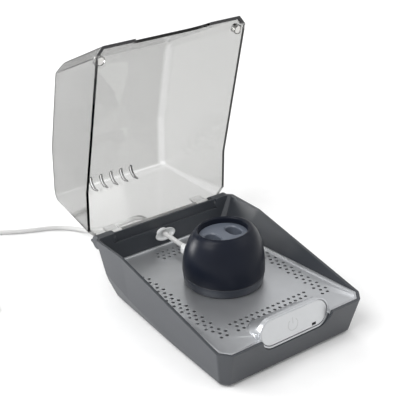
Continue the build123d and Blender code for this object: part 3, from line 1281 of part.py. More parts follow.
with BuildPart() as wall_grommet:
    # Inside: an oval trumpet, hollowed round the lead.
    for reach, spread in FLARE_SECTIONS:
        with BuildSketch(Plane.XZ.offset(-WALL_INNER_Y + reach * GROMMET_REACH)):
            with Locations((GROMMET_X, GROMMET_Z)):
                Ellipse(GROMMET_NECK[0] + spread * (GROMMET_FLARE[0] - GROMMET_NECK[0]),
                        GROMMET_NECK[1] + spread * (GROMMET_FLARE[1] - GROMMET_NECK[1]))
    loft()
    with BuildSketch(Plane.XZ.offset(-WALL_INNER_Y + GROMMET_REACH)):
        with Locations((GROMMET_X, GROMMET_Z)):
            Ellipse(GROMMET_FLARE[0] - GROMMET_EDGE, GROMMET_FLARE[1] - GROMMET_EDGE)
    with BuildSketch(Plane.XZ.offset(-LEAD_END_Y)):
        with Locations((GROMMET_X, GROMMET_Z)):
            Ellipse(GROMMET_NECK[0] - GROMMET_EDGE, CORD_D / 2 + GROMMET_EDGE / 2)
    loft(mode=Mode.SUBTRACT)
    # Through the wall, then a round cap and a tapered sleeve outside.
    with BuildSketch(Plane.XZ.offset(-WALL_INNER_Y)):
        with Locations((GROMMET_X, GROMMET_Z)):
            Ellipse(*GROMMET_NECK)
    extrude(amount=-(SLEEVE_Y - WALL_INNER_Y))
    with BuildSketch(Plane.XZ.offset(-CAP_Y)):
        with Locations((GROMMET_X, GROMMET_Z)):
            Circle(GROMMET_CAP_R)
    extrude(amount=-GROMMET_CAP_T)
    with BuildSketch(Plane.XZ.offset(-SLEEVE_Y)):
        with Locations((GROMMET_X, GROMMET_Z)):
            Circle(SLEEVE_R)
    with BuildSketch(Plane.XZ.offset(-SLEEVE_Y - SLEEVE_LENGTH)):
        with Locations((GROMMET_X, GROMMET_Z)):
            Circle(SLEEVE_END_R)
    loft()

export(wall_grommet.part, "wall_grommet")

# ---------------------------------------------------------------- free cord
COIL_PITCH = CORD_D + CORD_TURN_GAP
COIL_OUTER = COIL_MEAN_R + TURNS_IN * COIL_PITCH / 2
COIL_INNER = COIL_MEAN_R - TURNS_IN * COIL_PITCH / 2
CLIMB_END = TURNS_IN + 0.5
COIL_TURNS = CLIMB_END + TURNS_OUT
FLOOR_Z = CORD_D / 2


def coil_point(turns):
    """Centre of the cord after some turns of the coil, counted from where it comes in."""
    angle = radians(COIL_START) + 2 * pi * turns
    climb = min(1.0, max(0.0, (turns - TURNS_IN) / (CLIMB_END - TURNS_IN)))
    if turns <= TURNS_IN:
        radius = COIL_OUTER - COIL_PITCH * turns
    elif turns <= CLIMB_END:
        radius = COIL_INNER - COIL_PITCH * (climb - climb ** 2) / 2
    else:
        radius = COIL_INNER + COIL_PITCH * (turns - CLIMB_END)
    height = FLOOR_Z + COIL_PITCH * climb ** 2 * (3 - 2 * climb)
    return Vector(COIL_CENTRE[0] + radius * cos(angle), COIL_CENTRE[1] + radius * sin(angle),
                  height)


def coil_tangent(turns):
    """Direction of the cord after some turns."""
    step = 1e-4
    low = max(0.0, turns - step)
    high = min(COIL_TURNS, turns + step)
    return (coil_point(high) - coil_point(low)).normalized()


def biarc_joint(start, start_dir, end, end_dir):
    """Point where two tangent arcs between two directed points meet."""
    across = end - start
    both = start_dir + end_dir
    spread = 4 - both.dot(both)
    along = across.dot(both)
    reach = (sqrt(along ** 2 + spread * across.dot(across)) - along) / spread
    return (start + start_dir * reach + end - end_dir * reach) * 0.5


def coil_self_gap():
    """Least gap between turns of the coil, from points along it."""
    steps = 72
    points = [coil_point(index / steps) for index in range(int(COIL_TURNS * steps) + 1)]
    return min((first - second).length for index, first in enumerate(points)
               for second in points[index + steps // 2:]) - CORD_D


with BuildPart() as cord_coil:
    with BuildLine() as coil_path:
        marks = ceil(COIL_TURNS * COIL_STEPS)
        for index in range(marks):
            first = index * COIL_TURNS / marks
            last = (index + 1) * COIL_TURNS / marks
            joint = biarc_joint(coil_point(first), coil_tangent(first),
                                coil_point(last), coil_tangent(last))
            arc = TangentArc(coil_point(first), joint, tangent=coil_tangent(first))
            TangentArc(joint, coil_point(last), tangent=arc % 1)
    with BuildSketch(Plane(origin=coil_path.line @ 0, z_dir=coil_path.line % 0)):
        Circle(CORD_D / 2)
    sweep(path=coil_path.line)

COIL_LENGTH = sum(edge.length for edge in coil_path.edges())
print(f"coil {COIL_LENGTH:.1f} mm, least gap to itself {coil_self_gap():.2f} mm, volume "
      f"{cord_coil.part.volume / (pi * CORD_D ** 2 / 4 * COIL_LENGTH):.4f} of section times length")
export(cord_coil.part, "cord_coil")

COIL_IN = coil_point(0)
COIL_OUT = coil_point(COIL_TURNS)
IN_DIR = coil_tangent(0)
OUT_DIR = coil_tangent(COIL_TURNS)
CORD_ROUTE = [(GROMMET_X, SLEEVE_Y + SLEEVE_LENGTH, GROMMET_Z),
              (GROMMET_X, 61.5, GROMMET_Z), (-6.0, 76.0, 32.2), (-7.6, 92.0, 22.5), (-9.8, 107.0, 12.6),
              (-13.8, 122.0, 4.6), (-21.5, 136.5, FLOOR_Z), (-33.0, 145.8, FLOOR_Z),
              (-46.5, 151.0, FLOOR_Z), (-60.0, 157.4, FLOOR_Z), (-73.5, 166.3, FLOOR_Z),
              (COIL_IN - IN_DIR * COIL_LEAD_IN).to_tuple(), COIL_IN.to_tuple()]
TAIL_ROUTE = [COIL_OUT.to_tuple(), (COIL_OUT + OUT_DIR * COIL_LEAD_IN).to_tuple(),
              (-134.6, 136.0, 3.6), (-133.6, 122.5, FLOOR_Z), (-131.8, 109.0, FLOOR_Z),
              (-130.6, 97.5, USB_THICK / 2), (-130.6, 89.0, USB_THICK / 2)]
export(cord_tube(CORD_ROUTE), "power_cord")
export(cord_tube(TAIL_ROUTE), "cord_tail")

# ---------------------------------------------------------------- plug on the cord's end
USB_X, USB_Y, USB_Z = TAIL_ROUTE[-1]
USB_BACK = USB_Y - USB_NECK
USB_FACE = USB_BACK - USB_LENGTH

with BuildPart() as usb_plug_body:
    with BuildSketch(Plane.XZ.offset(-USB_BACK)):
        with Locations((USB_X, USB_Z)):
            RectangleRounded(USB_WIDTH, USB_THICK, USB_CORNER_R)
    extrude(amount=USB_LENGTH)
    fillet(faces().sort_by(Axis.Y)[-1].edges(), radius=USB_CORNER_R / 2)
    with BuildSketch(Plane.XZ.offset(-USB_BACK)):
        with Locations((USB_X, USB_Z)):
            Circle(USB_NECK_R + SHELL_WALL)
    with BuildSketch(Plane.XZ.offset(-USB_Y)):
        with Locations((USB_X, USB_Z)):
            Circle(USB_NECK_R - SHELL_WALL)
    loft()
    with BuildSketch(Plane.XZ.offset(-USB_FACE)):
        with Locations((USB_X, USB_Z)):
            Rectangle(SHELL_WIDTH + 2 * SHELL_GAP, SHELL_THICK + 2 * SHELL_GAP)
    extrude(amount=-SHELL_IN, mode=Mode.SUBTRACT)
    # Plastic blade that carries the contacts inside the metal shell.
    with BuildSketch(Plane.XZ.offset(-USB_FACE - SHELL_IN)):
        with Locations((USB_X, USB_Z + SHELL_THICK / 2 - SHELL_WALL - BLADE_HEIGHT / 2
                        - SHELL_GAP)):
            Rectangle(SHELL_WIDTH - 2 * SHELL_WALL - 2 * SHELL_GAP, BLADE_HEIGHT)
    extrude(amount=SHELL_IN + SHELL_OUT - SHELL_WALL)

export(usb_plug_body.part, "usb_plug_body")

with BuildPart() as usb_plug_shell:
    with BuildSketch(Plane.XZ.offset(-USB_FACE - SHELL_IN)):
        with Locations((USB_X, USB_Z)):
            Rectangle(SHELL_WIDTH, SHELL_THICK)
            Rectangle(SHELL_WIDTH - 2 * SHELL_WALL, SHELL_THICK - 2 * SHELL_WALL,
                      mode=Mode.SUBTRACT)
    extrude(amount=SHELL_IN + SHELL_OUT)

export(usb_plug_shell.part, "usb_plug_shell")
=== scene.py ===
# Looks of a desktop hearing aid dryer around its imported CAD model. The scene is in metres, in the
# CAD frame: +X is the user's right, +Y the back, +Z up, and Z = 0 is the table. Lengths in this
# file are in millimetres unless a comment says otherwise.
import math

import bmesh
import bpy
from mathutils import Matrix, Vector


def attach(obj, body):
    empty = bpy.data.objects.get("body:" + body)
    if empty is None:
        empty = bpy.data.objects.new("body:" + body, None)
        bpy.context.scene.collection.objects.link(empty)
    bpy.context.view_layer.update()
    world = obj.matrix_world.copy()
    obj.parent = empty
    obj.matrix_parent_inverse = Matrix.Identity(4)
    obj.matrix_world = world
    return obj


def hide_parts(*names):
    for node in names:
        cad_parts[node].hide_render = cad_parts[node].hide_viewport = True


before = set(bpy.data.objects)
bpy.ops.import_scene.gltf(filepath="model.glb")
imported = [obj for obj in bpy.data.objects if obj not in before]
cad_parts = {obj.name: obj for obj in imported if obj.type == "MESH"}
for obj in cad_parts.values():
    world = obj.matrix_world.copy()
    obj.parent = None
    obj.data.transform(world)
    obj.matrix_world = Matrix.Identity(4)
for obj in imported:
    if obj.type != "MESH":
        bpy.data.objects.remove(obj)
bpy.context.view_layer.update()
MM = 0.001
WELD = 0.001                   # points closer than this are one


# ---------------------------------------------------------------- helpers
def linked(name, data):
    """A new object in the scene with this data."""
    obj = bpy.data.objects.new(name, data)
    bpy.context.collection.objects.link(obj)
    return obj


def object_of(name, mesh):
    """An object in the scene that holds a finished bmesh, which is freed."""
    data = bpy.data.meshes.new(name)
    mesh.to_mesh(data)
    mesh.free()
    return linked(name, data)


def evaluated_mesh(obj):
    """A mesh of an object with its modifiers or its curve's bevel applied."""
    return bpy.data.meshes.new_from_object(obj.evaluated_get(
        bpy.context.evaluated_depsgraph_get()))


def copied_mesh(node):
    """A welded bmesh copy of a CAD node's mesh."""
    mesh = bmesh.new()
    mesh.from_mesh(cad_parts[node].data)
    bmesh.ops.remove_doubles(mesh, verts=mesh.verts, dist=WELD * MM)
    bmesh.ops.recalc_face_normals(mesh, faces=mesh.faces)
    return mesh


def tube_faces(mesh, low, high):
    """Joins two rings of vertices with a band of faces."""
    for k in range(len(low)):
        following = (k + 1) % len(low)
        mesh.faces.new((low[k], low[following], high[following], high[k]))


def circle_turns(count):
    """Angles, in radians, of count even steps round a circle."""
    return [2 * math.pi * i / count for i in range(count)]


def cut_out(obj, cutter):
    """Cuts the closed solids of cutter out of obj and removes cutter."""
    cut = obj.modifiers.new("cut", "BOOLEAN")
    cut.object = cutter
    cut.operation = "DIFFERENCE"
    cut.solver = "EXACT"
    done = evaluated_mesh(obj)
    obj.modifiers.clear()
    obj.data = done
    bpy.data.objects.remove(cutter)


def smooth_but_sharp(obj, degrees):
    """Smooth shading that keeps edges sharper than this angle."""
    obj.data.shade_smooth()
    obj.data.set_sharp_from_angle(angle=math.radians(degrees))


# ---------------------------------------------------------------- camera
CAMERA_PLACE = (-0.3745, -0.49785, 0.3836)     # metres
CAMERA_TURN = (63.58, 0.0, -37.27)             # degrees
CAMERA_LENS = 91.76
SENSOR = 36.0
CLIP_START = 0.01              # metres

camera_data = bpy.data.cameras.new("camera")
camera_data.lens = CAMERA_LENS
camera_data.sensor_width = SENSOR
camera_data.clip_start = CLIP_START
camera = linked("camera", camera_data)
camera.location = CAMERA_PLACE
camera.rotation_euler = [math.radians(a) for a in CAMERA_TURN]
bpy.context.scene.camera = camera

# ---------------------------------------------------------------- cord
# One cord runs from the dock's plug through the wall grommet to its own plug on the table.
CORD_D = 3.5
FLOOR_Z = CORD_D / 2
LEAD = [(-2.6, 10.55, 34.6), (-2.6, 15.15, 34.6), (-5.2, 25.95, 37.4), (-5.2, 34.0, 37.4)]
RUN = [(-5.2, 49.07, 37.4), (-5.2, 60.5, 37.0), (-6.0, 74.5, 28.5), (-7.6, 90.0, 17.5),
       (-9.8, 105.0, 8.4), (-13.8, 121.0, 3.0), (-21.5, 136.5, FLOOR_Z),
       (-33.0, 145.8, FLOOR_Z), (-46.5, 151.0, FLOOR_Z), (-60.0, 157.4, FLOOR_Z),
       (-73.5, 166.3, FLOOR_Z)]
TAIL = [(-134.6, 136.0, 3.6), (-133.6, 122.5, FLOOR_Z), (-131.8, 109.0, FLOOR_Z),
        (-130.6, 97.5, 3.8), (-130.6, 89.0, 3.8)]
COIL_CENTRE = (-110.0, 159.7)
COIL_START = 60.0              # degrees
COIL_PITCH = 4.1
COIL_MEAN_R = 19.5
TURNS_IN = 2.5                 # turns that wind inwards on the table
CLIMB_END = 3.0                # turns after which the cord lies on those and winds outwards
COIL_TURNS = 5.333
COIL_LEAD_IN = 12.0
POINTS_A_TURN = 16
TURN_STEP = 0.0001             # turns between the points that give the coil's direction
SPLINE_ORDER = 3
SPLINE_STEPS = 8
ROUND_STEPS = 5


def coil_point(turns, widen):
    """A point of the coil after some turns, with its radius divided by widen."""
    angle = math.radians(COIL_START) + 2 * math.pi * turns
    climb = min(1.0, max(0.0, (turns - TURNS_IN) / (CLIMB_END - TURNS_IN)))
    outer = COIL_MEAN_R + TURNS_IN * COIL_PITCH / 2
    inner = COIL_MEAN_R - TURNS_IN * COIL_PITCH / 2
    if turns <= TURNS_IN:
        radius = outer - COIL_PITCH * turns
    elif turns <= CLIMB_END:
        radius = inner - COIL_PITCH * (climb - climb ** 2) / 2
    else:
        radius = inner + COIL_PITCH * (turns - CLIMB_END)
    return Vector((COIL_CENTRE[0] + radius / widen * math.cos(angle),
                   COIL_CENTRE[1] + radius / widen * math.sin(angle),
                   FLOOR_Z + COIL_PITCH * climb ** 2 * (3 - 2 * climb)))


def coil_run(turns):
    """Direction of the cord after some turns of the coil."""
    low, high = max(0.0, turns - TURN_STEP), min(COIL_TURNS, turns + TURN_STEP)
    return (coil_point(high, 1.0) - coil_point(low, 1.0)).normalized()


def cord_points():
    """The cord's route: lead, grommet, run on the table, coil and tail."""
    marks = round(COIL_TURNS * POINTS_A_TURN)
    widen = math.cos(math.pi / POINTS_A_TURN)
    turns = [coil_point((i + 0.5) * COIL_TURNS / marks, widen) for i in range(marks)]
    enter = coil_point(0.0, 1.0) - coil_run(0.0) * COIL_LEAD_IN
    leave = coil_point(COIL_TURNS, 1.0) + coil_run(COIL_TURNS) * COIL_LEAD_IN
    return [Vector(p) for p in LEAD + RUN] + [enter] + turns + [leave] + [Vector(p) for p in TAIL]


def tube_curve(name, points, radius):
    """A smooth round cord that follows its route's points."""
    data = bpy.data.curves.new(name, "CURVE")
    data.dimensions = "3D"
    spline = data.splines.new("NURBS")
    spline.points.add(len(points) - 1)
    for point, place in zip(spline.points, points):
        point.co = (place[0] * MM, place[1] * MM, place[2] * MM, 1.0)
        point.radius = radius * MM
    spline.order_u = SPLINE_ORDER
    spline.use_endpoint_u = True
    spline.resolution_u = SPLINE_STEPS
    data.bevel_depth = 1.0
    data.bevel_resolution = ROUND_STEPS
    data.use_fill_caps = True
    return linked(name, data)


# The cord's far plug, shortened towards the cord, so that it lies outside the picture.
PLUG_END_Y = 89.0              # where the cord enters it
PLUG_SHORTENING = 0.785
PLUG_SHARP = 30.0              # degrees


def short_plug_piece(node, name):
    """A copy of one of the far plug's nodes that is drawn in towards the cord."""
    mesh = copied_mesh(node)
    for vert in mesh.verts:
        vert.co.y = PLUG_END_Y * MM - (PLUG_END_Y * MM - vert.co.y) * PLUG_SHORTENING
    piece = object_of(name, mesh)
    smooth_but_sharp(piece, PLUG_SHARP)
    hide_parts(node)
    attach(piece, "base")
    return piece


plug_body = short_plug_piece("usb_plug_body", "plug_body_skin")
plug_shell = short_plug_piece("usb_plug_shell", "plug_shell_skin")

charger_cord = tube_curve("charger_cord", cord_points(), CORD_D / 2)
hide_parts("dock_lead", "power_cord", "cord_coil", "cord_tail")
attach(charger_cord, "base")


# ---------------------------------------------------------------- materials
COAT_ROUGH = 0.12
BEVEL_SAMPLES = 4


def material(name):
    """A new node material: its node tree's nodes, links and shader."""
    made = bpy.data.materials.new(name)
    made.use_nodes = True
    tree = made.node_tree
    return made, tree.nodes, tree.links, tree.nodes["Principled BSDF"]


def noise(nodes, links, place, size, detail=2.0, rough=0.5):
    """A noise texture whose features are about size millimetres across."""
    node = nodes.new("ShaderNodeTexNoise")
    node.inputs["Scale"].default_value = 1.0 / (size * MM)
    node.inputs["Detail"].default_value = detail
    node.inputs["Roughness"].default_value = rough
    links.new(place, node.inputs["Vector"])
    return node.outputs["Fac"]


def ranged(nodes, links, value, low, high, start=0.3, end=0.7):
    """A value spread from start..end on to low..high."""
    node = nodes.new("ShaderNodeMapRange")
    node.inputs["From Min"].default_value = start
    node.inputs["From Max"].default_value = end
    node.inputs["To Min"].default_value = low
    node.inputs["To Max"].default_value = high
    links.new(value, node.inputs["Value"])
    return node.outputs["Result"]


def two_tones(nodes, links, value, dark, light):
    """A colour between two tones. The first may be another node's colour."""
    node = nodes.new("ShaderNodeMix")
    node.data_type = "RGBA"
    if isinstance(dark, bpy.types.NodeSocket):
        links.new(dark, node.inputs["A"])
    else:
        node.inputs["A"].default_value = (*dark, 1.0)
    node.inputs["B"].default_value = (*light, 1.0)
    links.new(value, node.inputs["Factor"])
    return node.outputs["Result"]


def finish_of(name, colour, rough, metallic=0.0, grain=0.35, depth=0.01, mottle=14.0,
              tone=0.05, spread=0.05, bevel=0.0, coat=0.0, specular=0.5,
              stretch=(1.0, 1.0, 1.0)):
    """A moulded, painted or metal surface: fine grain, uneven sheen and slight mottling.

    grain and mottle are the sizes of their features, depth is the grain's height and bevel the
    radius of its edges. tone and spread are how far the colour and the roughness vary.
    """
    made, nodes, links, shader = material(name)
    place = nodes.new("ShaderNodeTexCoord").outputs["Object"]
    mapping = nodes.new("ShaderNodeMapping")
    mapping.inputs["Scale"].default_value = stretch
    links.new(place, mapping.inputs["Vector"])
    place = mapping.outputs["Vector"]
    patches = noise(nodes, links, place, mottle)
    dark = [c * (1 - tone) for c in colour]
    light = [min(1.0, c * (1 + tone)) for c in colour]
    links.new(two_tones(nodes, links, ranged(nodes, links, patches, 0, 1), dark, light),
              shader.inputs["Base Color"])
    fine = noise(nodes, links, place, grain, detail=3.0, rough=0.6)
    links.new(ranged(nodes, links, fine, rough - spread, rough + spread),
              shader.inputs["Roughness"])
    bump = nodes.new("ShaderNodeBump")
    bump.inputs["Distance"].default_value = depth * MM
    links.new(fine, bump.inputs["Height"])
    if bevel:
        edge = nodes.new("ShaderNodeBevel")
        edge.samples = BEVEL_SAMPLES
        edge.inputs["Radius"].default_value = bevel * MM
        links.new(edge.outputs["Normal"], bump.inputs["Normal"])
    links.new(bump.outputs["Normal"], shader.inputs["Normal"])
    shader.inputs["Metallic"].default_value = metallic
    shader.inputs["Specular IOR Level"].default_value = specular
    shader.inputs["Coat Weight"].default_value = coat
    shader.inputs["Coat Roughness"].default_value = COAT_ROUGH
    return made


def figured(nodes, links, operation, *values):
    """Result of a math node on its values, which are numbers or sockets."""
    node = nodes.new("ShaderNodeMath")
    node.operation = operation
    for socket, value in zip(node.inputs, values):
        if isinstance(value, (int, float)):
            socket.default_value = value
        else:
            links.new(value, socket)
    return node.outputs["Value"]


def vector_figured(nodes, links, operation, a, b):
    """A vector math node on two vectors or sockets."""
    node = nodes.new("ShaderNodeVectorMath")
    node.operation = operation
    for socket, value in zip(node.inputs, (a, b)):
        if isinstance(value, bpy.types.NodeSocket):
            links.new(value, socket)
        else:
            socket.default_value = value
    return node


def near_line(nodes, links, place, start, end, inner, outer):
    """1 within inner millimetres of a straight line's span, falling to 0 at outer."""
    start, end = Vector(start) * MM, Vector(end) * MM
    run = end - start
    offset = vector_figured(nodes, links, "SUBTRACT", place, start).outputs["Vector"]
    along = vector_figured(nodes, links, "DOT_PRODUCT", offset, run / run.length_squared)
    part = ranged(nodes, links, along.outputs["Value"], 0.0, 1.0, 0.0, 1.0)
    step = nodes.new("ShaderNodeVectorMath")
    step.operation = "SCALE"
    step.inputs[0].default_value = run
    links.new(part, step.inputs["Scale"])
    away = vector_figured(nodes, links, "DISTANCE", offset, step.outputs["Vector"])
    return ranged(nodes, links, away.outputs["Value"], 1.0, 0.0, inner * MM, outer * MM)


# The open lid's faces. An edge is where one tint gives way to the next, from its start to its end.
RIM_Y = 43.1
RIM_TURN_Z = 85.0              # above it the rim's plane falls forward
RIM_FALL = 0.207
RIM_EDGE = (RIM_Y + 0.5, RIM_Y + 0.9)
ROOF_TURN_Z = 88.6             # above it the roof falls forward
ROOF_FALL = 0.197
ROOF_EDGE = (101.0, 105.5)
SIDE_DRAFT = 0.169
SIDE_EDGE = (55.0, 57.5)
REAR_EDGE_Z = (49.0, 50.5)
FRONT_EDGE_Z = (181.0, 183.0)
WALL_TINT = (0.70, 0.70, 0.69)
ROOF_TINT = (0.58, 0.58, 0.57)
SIDE_TINT = (0.63, 0.63, 0.62)
# Painted light: the rear wall's tint is lighter, to lift the shade seen through it.
REAR_PAINTED_LIGHT_TINT = (0.94, 0.94, 0.93)
GLINT_TINT = (1.0, 1.0, 1.0)
# Painted light on the rear rim and painted shade on the front rim: a light grey for the light
# caught in the clear edge, a near black for the light lost along it.
REAR_RIM_PAINTED_LIGHT = (0.62, 0.62, 0.61)
FRONT_RIM_PAINTED_SHADE = (0.02, 0.02, 0.022)
LID_CORNER = (47.6, 104.9, 50.9)
EDGE_GLINTS = [                # start, end, inner and outer reach, strength
    ((-47.0, 105.5, 50.2), (47.6, 105.5, 50.2), 0.6, 2.0, 0.9),
    ((48.3, 104.5, 49.5), (52.8, 46.0, 46.2), 0.8, 2.4, 0.9),
    ((47.2, 106.0, 52.0), (47.2, 106.0, 88.6), 1.6, 4.6, 0.55),
    ((47.2, 106.0, 88.6), (46.4, 92.8, 155.0), 1.6, 4.6, 0.45),
    (LID_CORNER, (LID_CORNER[0] + 0.1, LID_CORNER[1], LID_CORNER[2]), 1.4, 4.5, 1.0),
]
# The rear wall is a little milky: painted light that lifts the shade seen through it, and a veil
# over the cord behind it.
REAR_LIGHTENING_HAZE = 0.12               # shares of the surface that are opaque
# The rims' opaque shares carry their painted light and painted shade.
REAR_RIM_PAINTED_LIGHT_SHARE = 0.80
FRONT_RIM_PAINTED_SHADE_SHARE = 0.85
LID_IOR = 1.49
LID_ROUGH = (0.015, 0.05)
SMEAR_SIZE = 22.0
WAVE_SIZE = 30.0
WAVE_DEPTH = 0.05
WAVE_STRENGTH = 0.3


def past_edge(nodes, links, value, edge, inside, outside):
    """inside where value is below an edge's start, and outside where it is past its end."""
    start, end = edge
    return ranged(nodes, links, value, inside, outside, start * MM, end * MM)


def falling(nodes, links, y, z, turn_z, fall):
    """Height of a face along Y that falls forward above turn_z."""
    above = figured(nodes, links, "SUBTRACT", z, turn_z * MM)
    drop = figured(nodes, links, "MAXIMUM", above, 0.0)
    return figured(nodes, links, "MULTIPLY_ADD", drop, fall, y)


def clear_plastic(name, absorb, grey):
    """Clear, faintly smoked plastic that darkens with the length of the light's way in it.

    absorb is the volume's density per metre and grey its colour.
    The roof and the left side are a shade deeper. The inner corners, where the light gathers, are
    tinted lighter as painted glints. The rear wall is tinted lighter and a little milky: painted
    light that lifts the shade seen through it and veils the cord behind. The rims are mostly
    opaque: light grey at the rear, painted light for the light caught in the clear edge, and near
    black at the front, painted shade for the light lost along the edge.
    """
    made, nodes, links, shader = material(name)
    shader.inputs["IOR"].default_value = LID_IOR
    place = nodes.new("ShaderNodeTexCoord").outputs["Object"]
    smear = noise(nodes, links, place, SMEAR_SIZE, detail=4.0, rough=0.55)
    links.new(ranged(nodes, links, smear, *LID_ROUGH), shader.inputs["Roughness"])
    bump = nodes.new("ShaderNodeBump")
    bump.inputs["Distance"].default_value = WAVE_DEPTH * MM
    bump.inputs["Strength"].default_value = WAVE_STRENGTH
    links.new(noise(nodes, links, place, WAVE_SIZE, detail=1.0), bump.inputs["Height"])
    links.new(bump.outputs["Normal"], shader.inputs["Normal"])

    split = nodes.new("ShaderNodeSeparateXYZ")
    links.new(place, split.inputs["Vector"])
    x, y, z = split.outputs
    roof_height = falling(nodes, links, y, z, ROOF_TURN_Z, ROOF_FALL)
    roof = past_edge(nodes, links, roof_height, ROOF_EDGE, 0.0, 1.0)
    above_rim = figured(nodes, links, "SUBTRACT", y, RIM_Y * MM)
    lean = figured(nodes, links, "MULTIPLY", above_rim, SIDE_DRAFT)
    leftness = figured(nodes, links, "SUBTRACT", lean, x)
    left = past_edge(nodes, links, leftness, SIDE_EDGE, 0.0, 1.0)
    rim_height = falling(nodes, links, y, z, RIM_TURN_Z, RIM_FALL)
    rim = past_edge(nodes, links, rim_height, RIM_EDGE, 1.0, 0.0)
    rear = past_edge(nodes, links, z, REAR_EDGE_Z, 1.0, 0.0)
    front = past_edge(nodes, links, z, FRONT_EDGE_Z, 0.0, 1.0)
    rear_rim = figured(nodes, links, "MULTIPLY", rim, rear)
    front_rim = figured(nodes, links, "MULTIPLY", rim, front)

    glints = 0.0
    for start, end, inner, outer, strength in EDGE_GLINTS:
        glint = near_line(nodes, links, place, start, end, inner, outer)
        glints = figured(nodes, links, "MAXIMUM", glints,
                         figured(nodes, links, "MULTIPLY", glint, strength))
    # Opaque shares: the rear wall's lightening haze, the rear rim's painted light and the front
    # rim's painted shade.
    painted_light_opacity = figured(nodes, links, "MULTIPLY", rear, REAR_LIGHTENING_HAZE)
    for mask, strength in ((rear_rim, REAR_RIM_PAINTED_LIGHT_SHARE), (front_rim, FRONT_RIM_PAINTED_SHADE_SHARE)):
        painted_light_opacity = figured(nodes, links, "MAXIMUM", painted_light_opacity,
                        figured(nodes, links, "MULTIPLY", mask, strength))
    links.new(figured(nodes, links, "SUBTRACT", 1.0, painted_light_opacity), shader.inputs["Transmission Weight"])

    # The rear wall, the glints and the rear rim are tinted with painted light, the front rim with
    # painted shade.
    tint = two_tones(nodes, links, left, WALL_TINT, SIDE_TINT)
    for mask, colour in ((roof, ROOF_TINT), (rear, REAR_PAINTED_LIGHT_TINT), (glints, GLINT_TINT),
                         (rear_rim, REAR_RIM_PAINTED_LIGHT), (front_rim, FRONT_RIM_PAINTED_SHADE)):
        tint = two_tones(nodes, links, mask, tint, colour)
    links.new(tint, shader.inputs["Base Color"])
    body = nodes.new("ShaderNodeVolumeAbsorption")
    body.inputs["Color"].default_value = (*grey, 1.0)
    body.inputs["Density"].default_value = absorb
    links.new(body.outputs["Volume"], nodes["Material Output"].inputs["Volume"])
    return made


base_plastic = finish_of("base_plastic", (0.029, 0.033, 0.040), 0.42, grain=0.30, depth=0.012,
                         bevel=0.45, tone=0.04, specular=0.62)
tray_metal = finish_of("tray_metal", (0.50, 0.512, 0.53), 0.37, metallic=0.82, grain=0.22,
                       depth=0.006, tone=0.03, spread=0.05, bevel=0.25)
button_metal = finish_of("button_plastic", (0.56, 0.57, 0.58), 0.36, metallic=1.0, grain=0.22,
                         depth=0.006, tone=0.03, bevel=0.25)
window = finish_of("window", (0.006, 0.006, 0.008), 0.25, depth=0.002, specular=0.15)
icon_ink = finish_of("icon_ink", (0.42, 0.425, 0.43), 0.35, depth=0.003)
dock_gloss = finish_of("dock_plastic", (0.007, 0.009, 0.016), 0.33, grain=0.5, depth=0.004,
                       bevel=0.35, spread=0.04, specular=0.15)
# A lighter copy of the dock's plastic for its base ring: painted reflection of the tray, which the
# ring catches because it faces down and out.
dock_ring_lit_gloss = finish_of("dock_ring_lit_plastic", (0.017, 0.021, 0.031), 0.36, grain=0.5,
                            depth=0.004, bevel=0.35, spread=0.04, specular=0.45)
cradle_grey = finish_of("cradle_plastic", (0.105, 0.120, 0.150), 0.38, depth=0.008, bevel=0.3)
white_gloss = finish_of("white_plastic", (0.80, 0.81, 0.81), 0.30, depth=0.004, coat=0.15,
                        bevel=0.3, tone=0.02)
white_rubber = finish_of("white_cord", (0.55, 0.55, 0.545), 0.45, grain=0.4, depth=0.008,
                         tone=0.03)
black_rubber = finish_of("rubber", (0.018, 0.018, 0.018), 0.75, grain=0.25, depth=0.02)
steel = finish_of("screw_steel", (0.60, 0.60, 0.61), 0.28, metallic=1.0, grain=0.25,
                  depth=0.004, bevel=0.2)
pin_steel = finish_of("pin_steel", (0.10, 0.10, 0.105), 0.40, metallic=1.0, depth=0.003)
nickel = finish_of("magnet", (0.66, 0.65, 0.63), 0.18, metallic=1.0, grain=0.6, depth=0.003,
                   bevel=0.25)
black_plastic = finish_of("switch_plastic", (0.030, 0.030, 0.032), 0.45, depth=0.01, bevel=0.2)
fan_plastic = finish_of("fan_plastic", (0.020, 0.020, 0.022), 0.40, depth=0.01, bevel=0.2)
inlet_plastic = finish_of("inlet_plastic", (0.016, 0.016, 0.017), 0.35, depth=0.008, bevel=0.2)
mask_green = finish_of("circuit_board", (0.012, 0.085, 0.040), 0.30, grain=1.2, depth=0.02,
                       mottle=2.5, tone=0.35, coat=0.3)
lamination = finish_of("stator_metal", (0.42, 0.33, 0.25), 0.40, metallic=1.0, grain=0.5,
                       depth=0.03, stretch=(0.15, 0.15, 1.0))
zinc = finish_of("bracket_steel", (0.56, 0.57, 0.58), 0.35, metallic=1.0, mottle=3.0, tone=0.10)
fins = finish_of("heater_aluminium", (0.66, 0.66, 0.66), 0.30, metallic=1.0, depth=0.006)
gold = finish_of("contact_gold", (0.80, 0.58, 0.25), 0.20, metallic=1.0, depth=0.002)
lid_clear = clear_plastic("lid_clear", absorb=115.0, grey=(0.105, 0.11, 0.11))
# Painted shade: a near black for the lines round the lid's vents.
vent_shade_line = finish_of("vent_shade_line", (0.045, 0.046, 0.048), 0.30, depth=0.003)

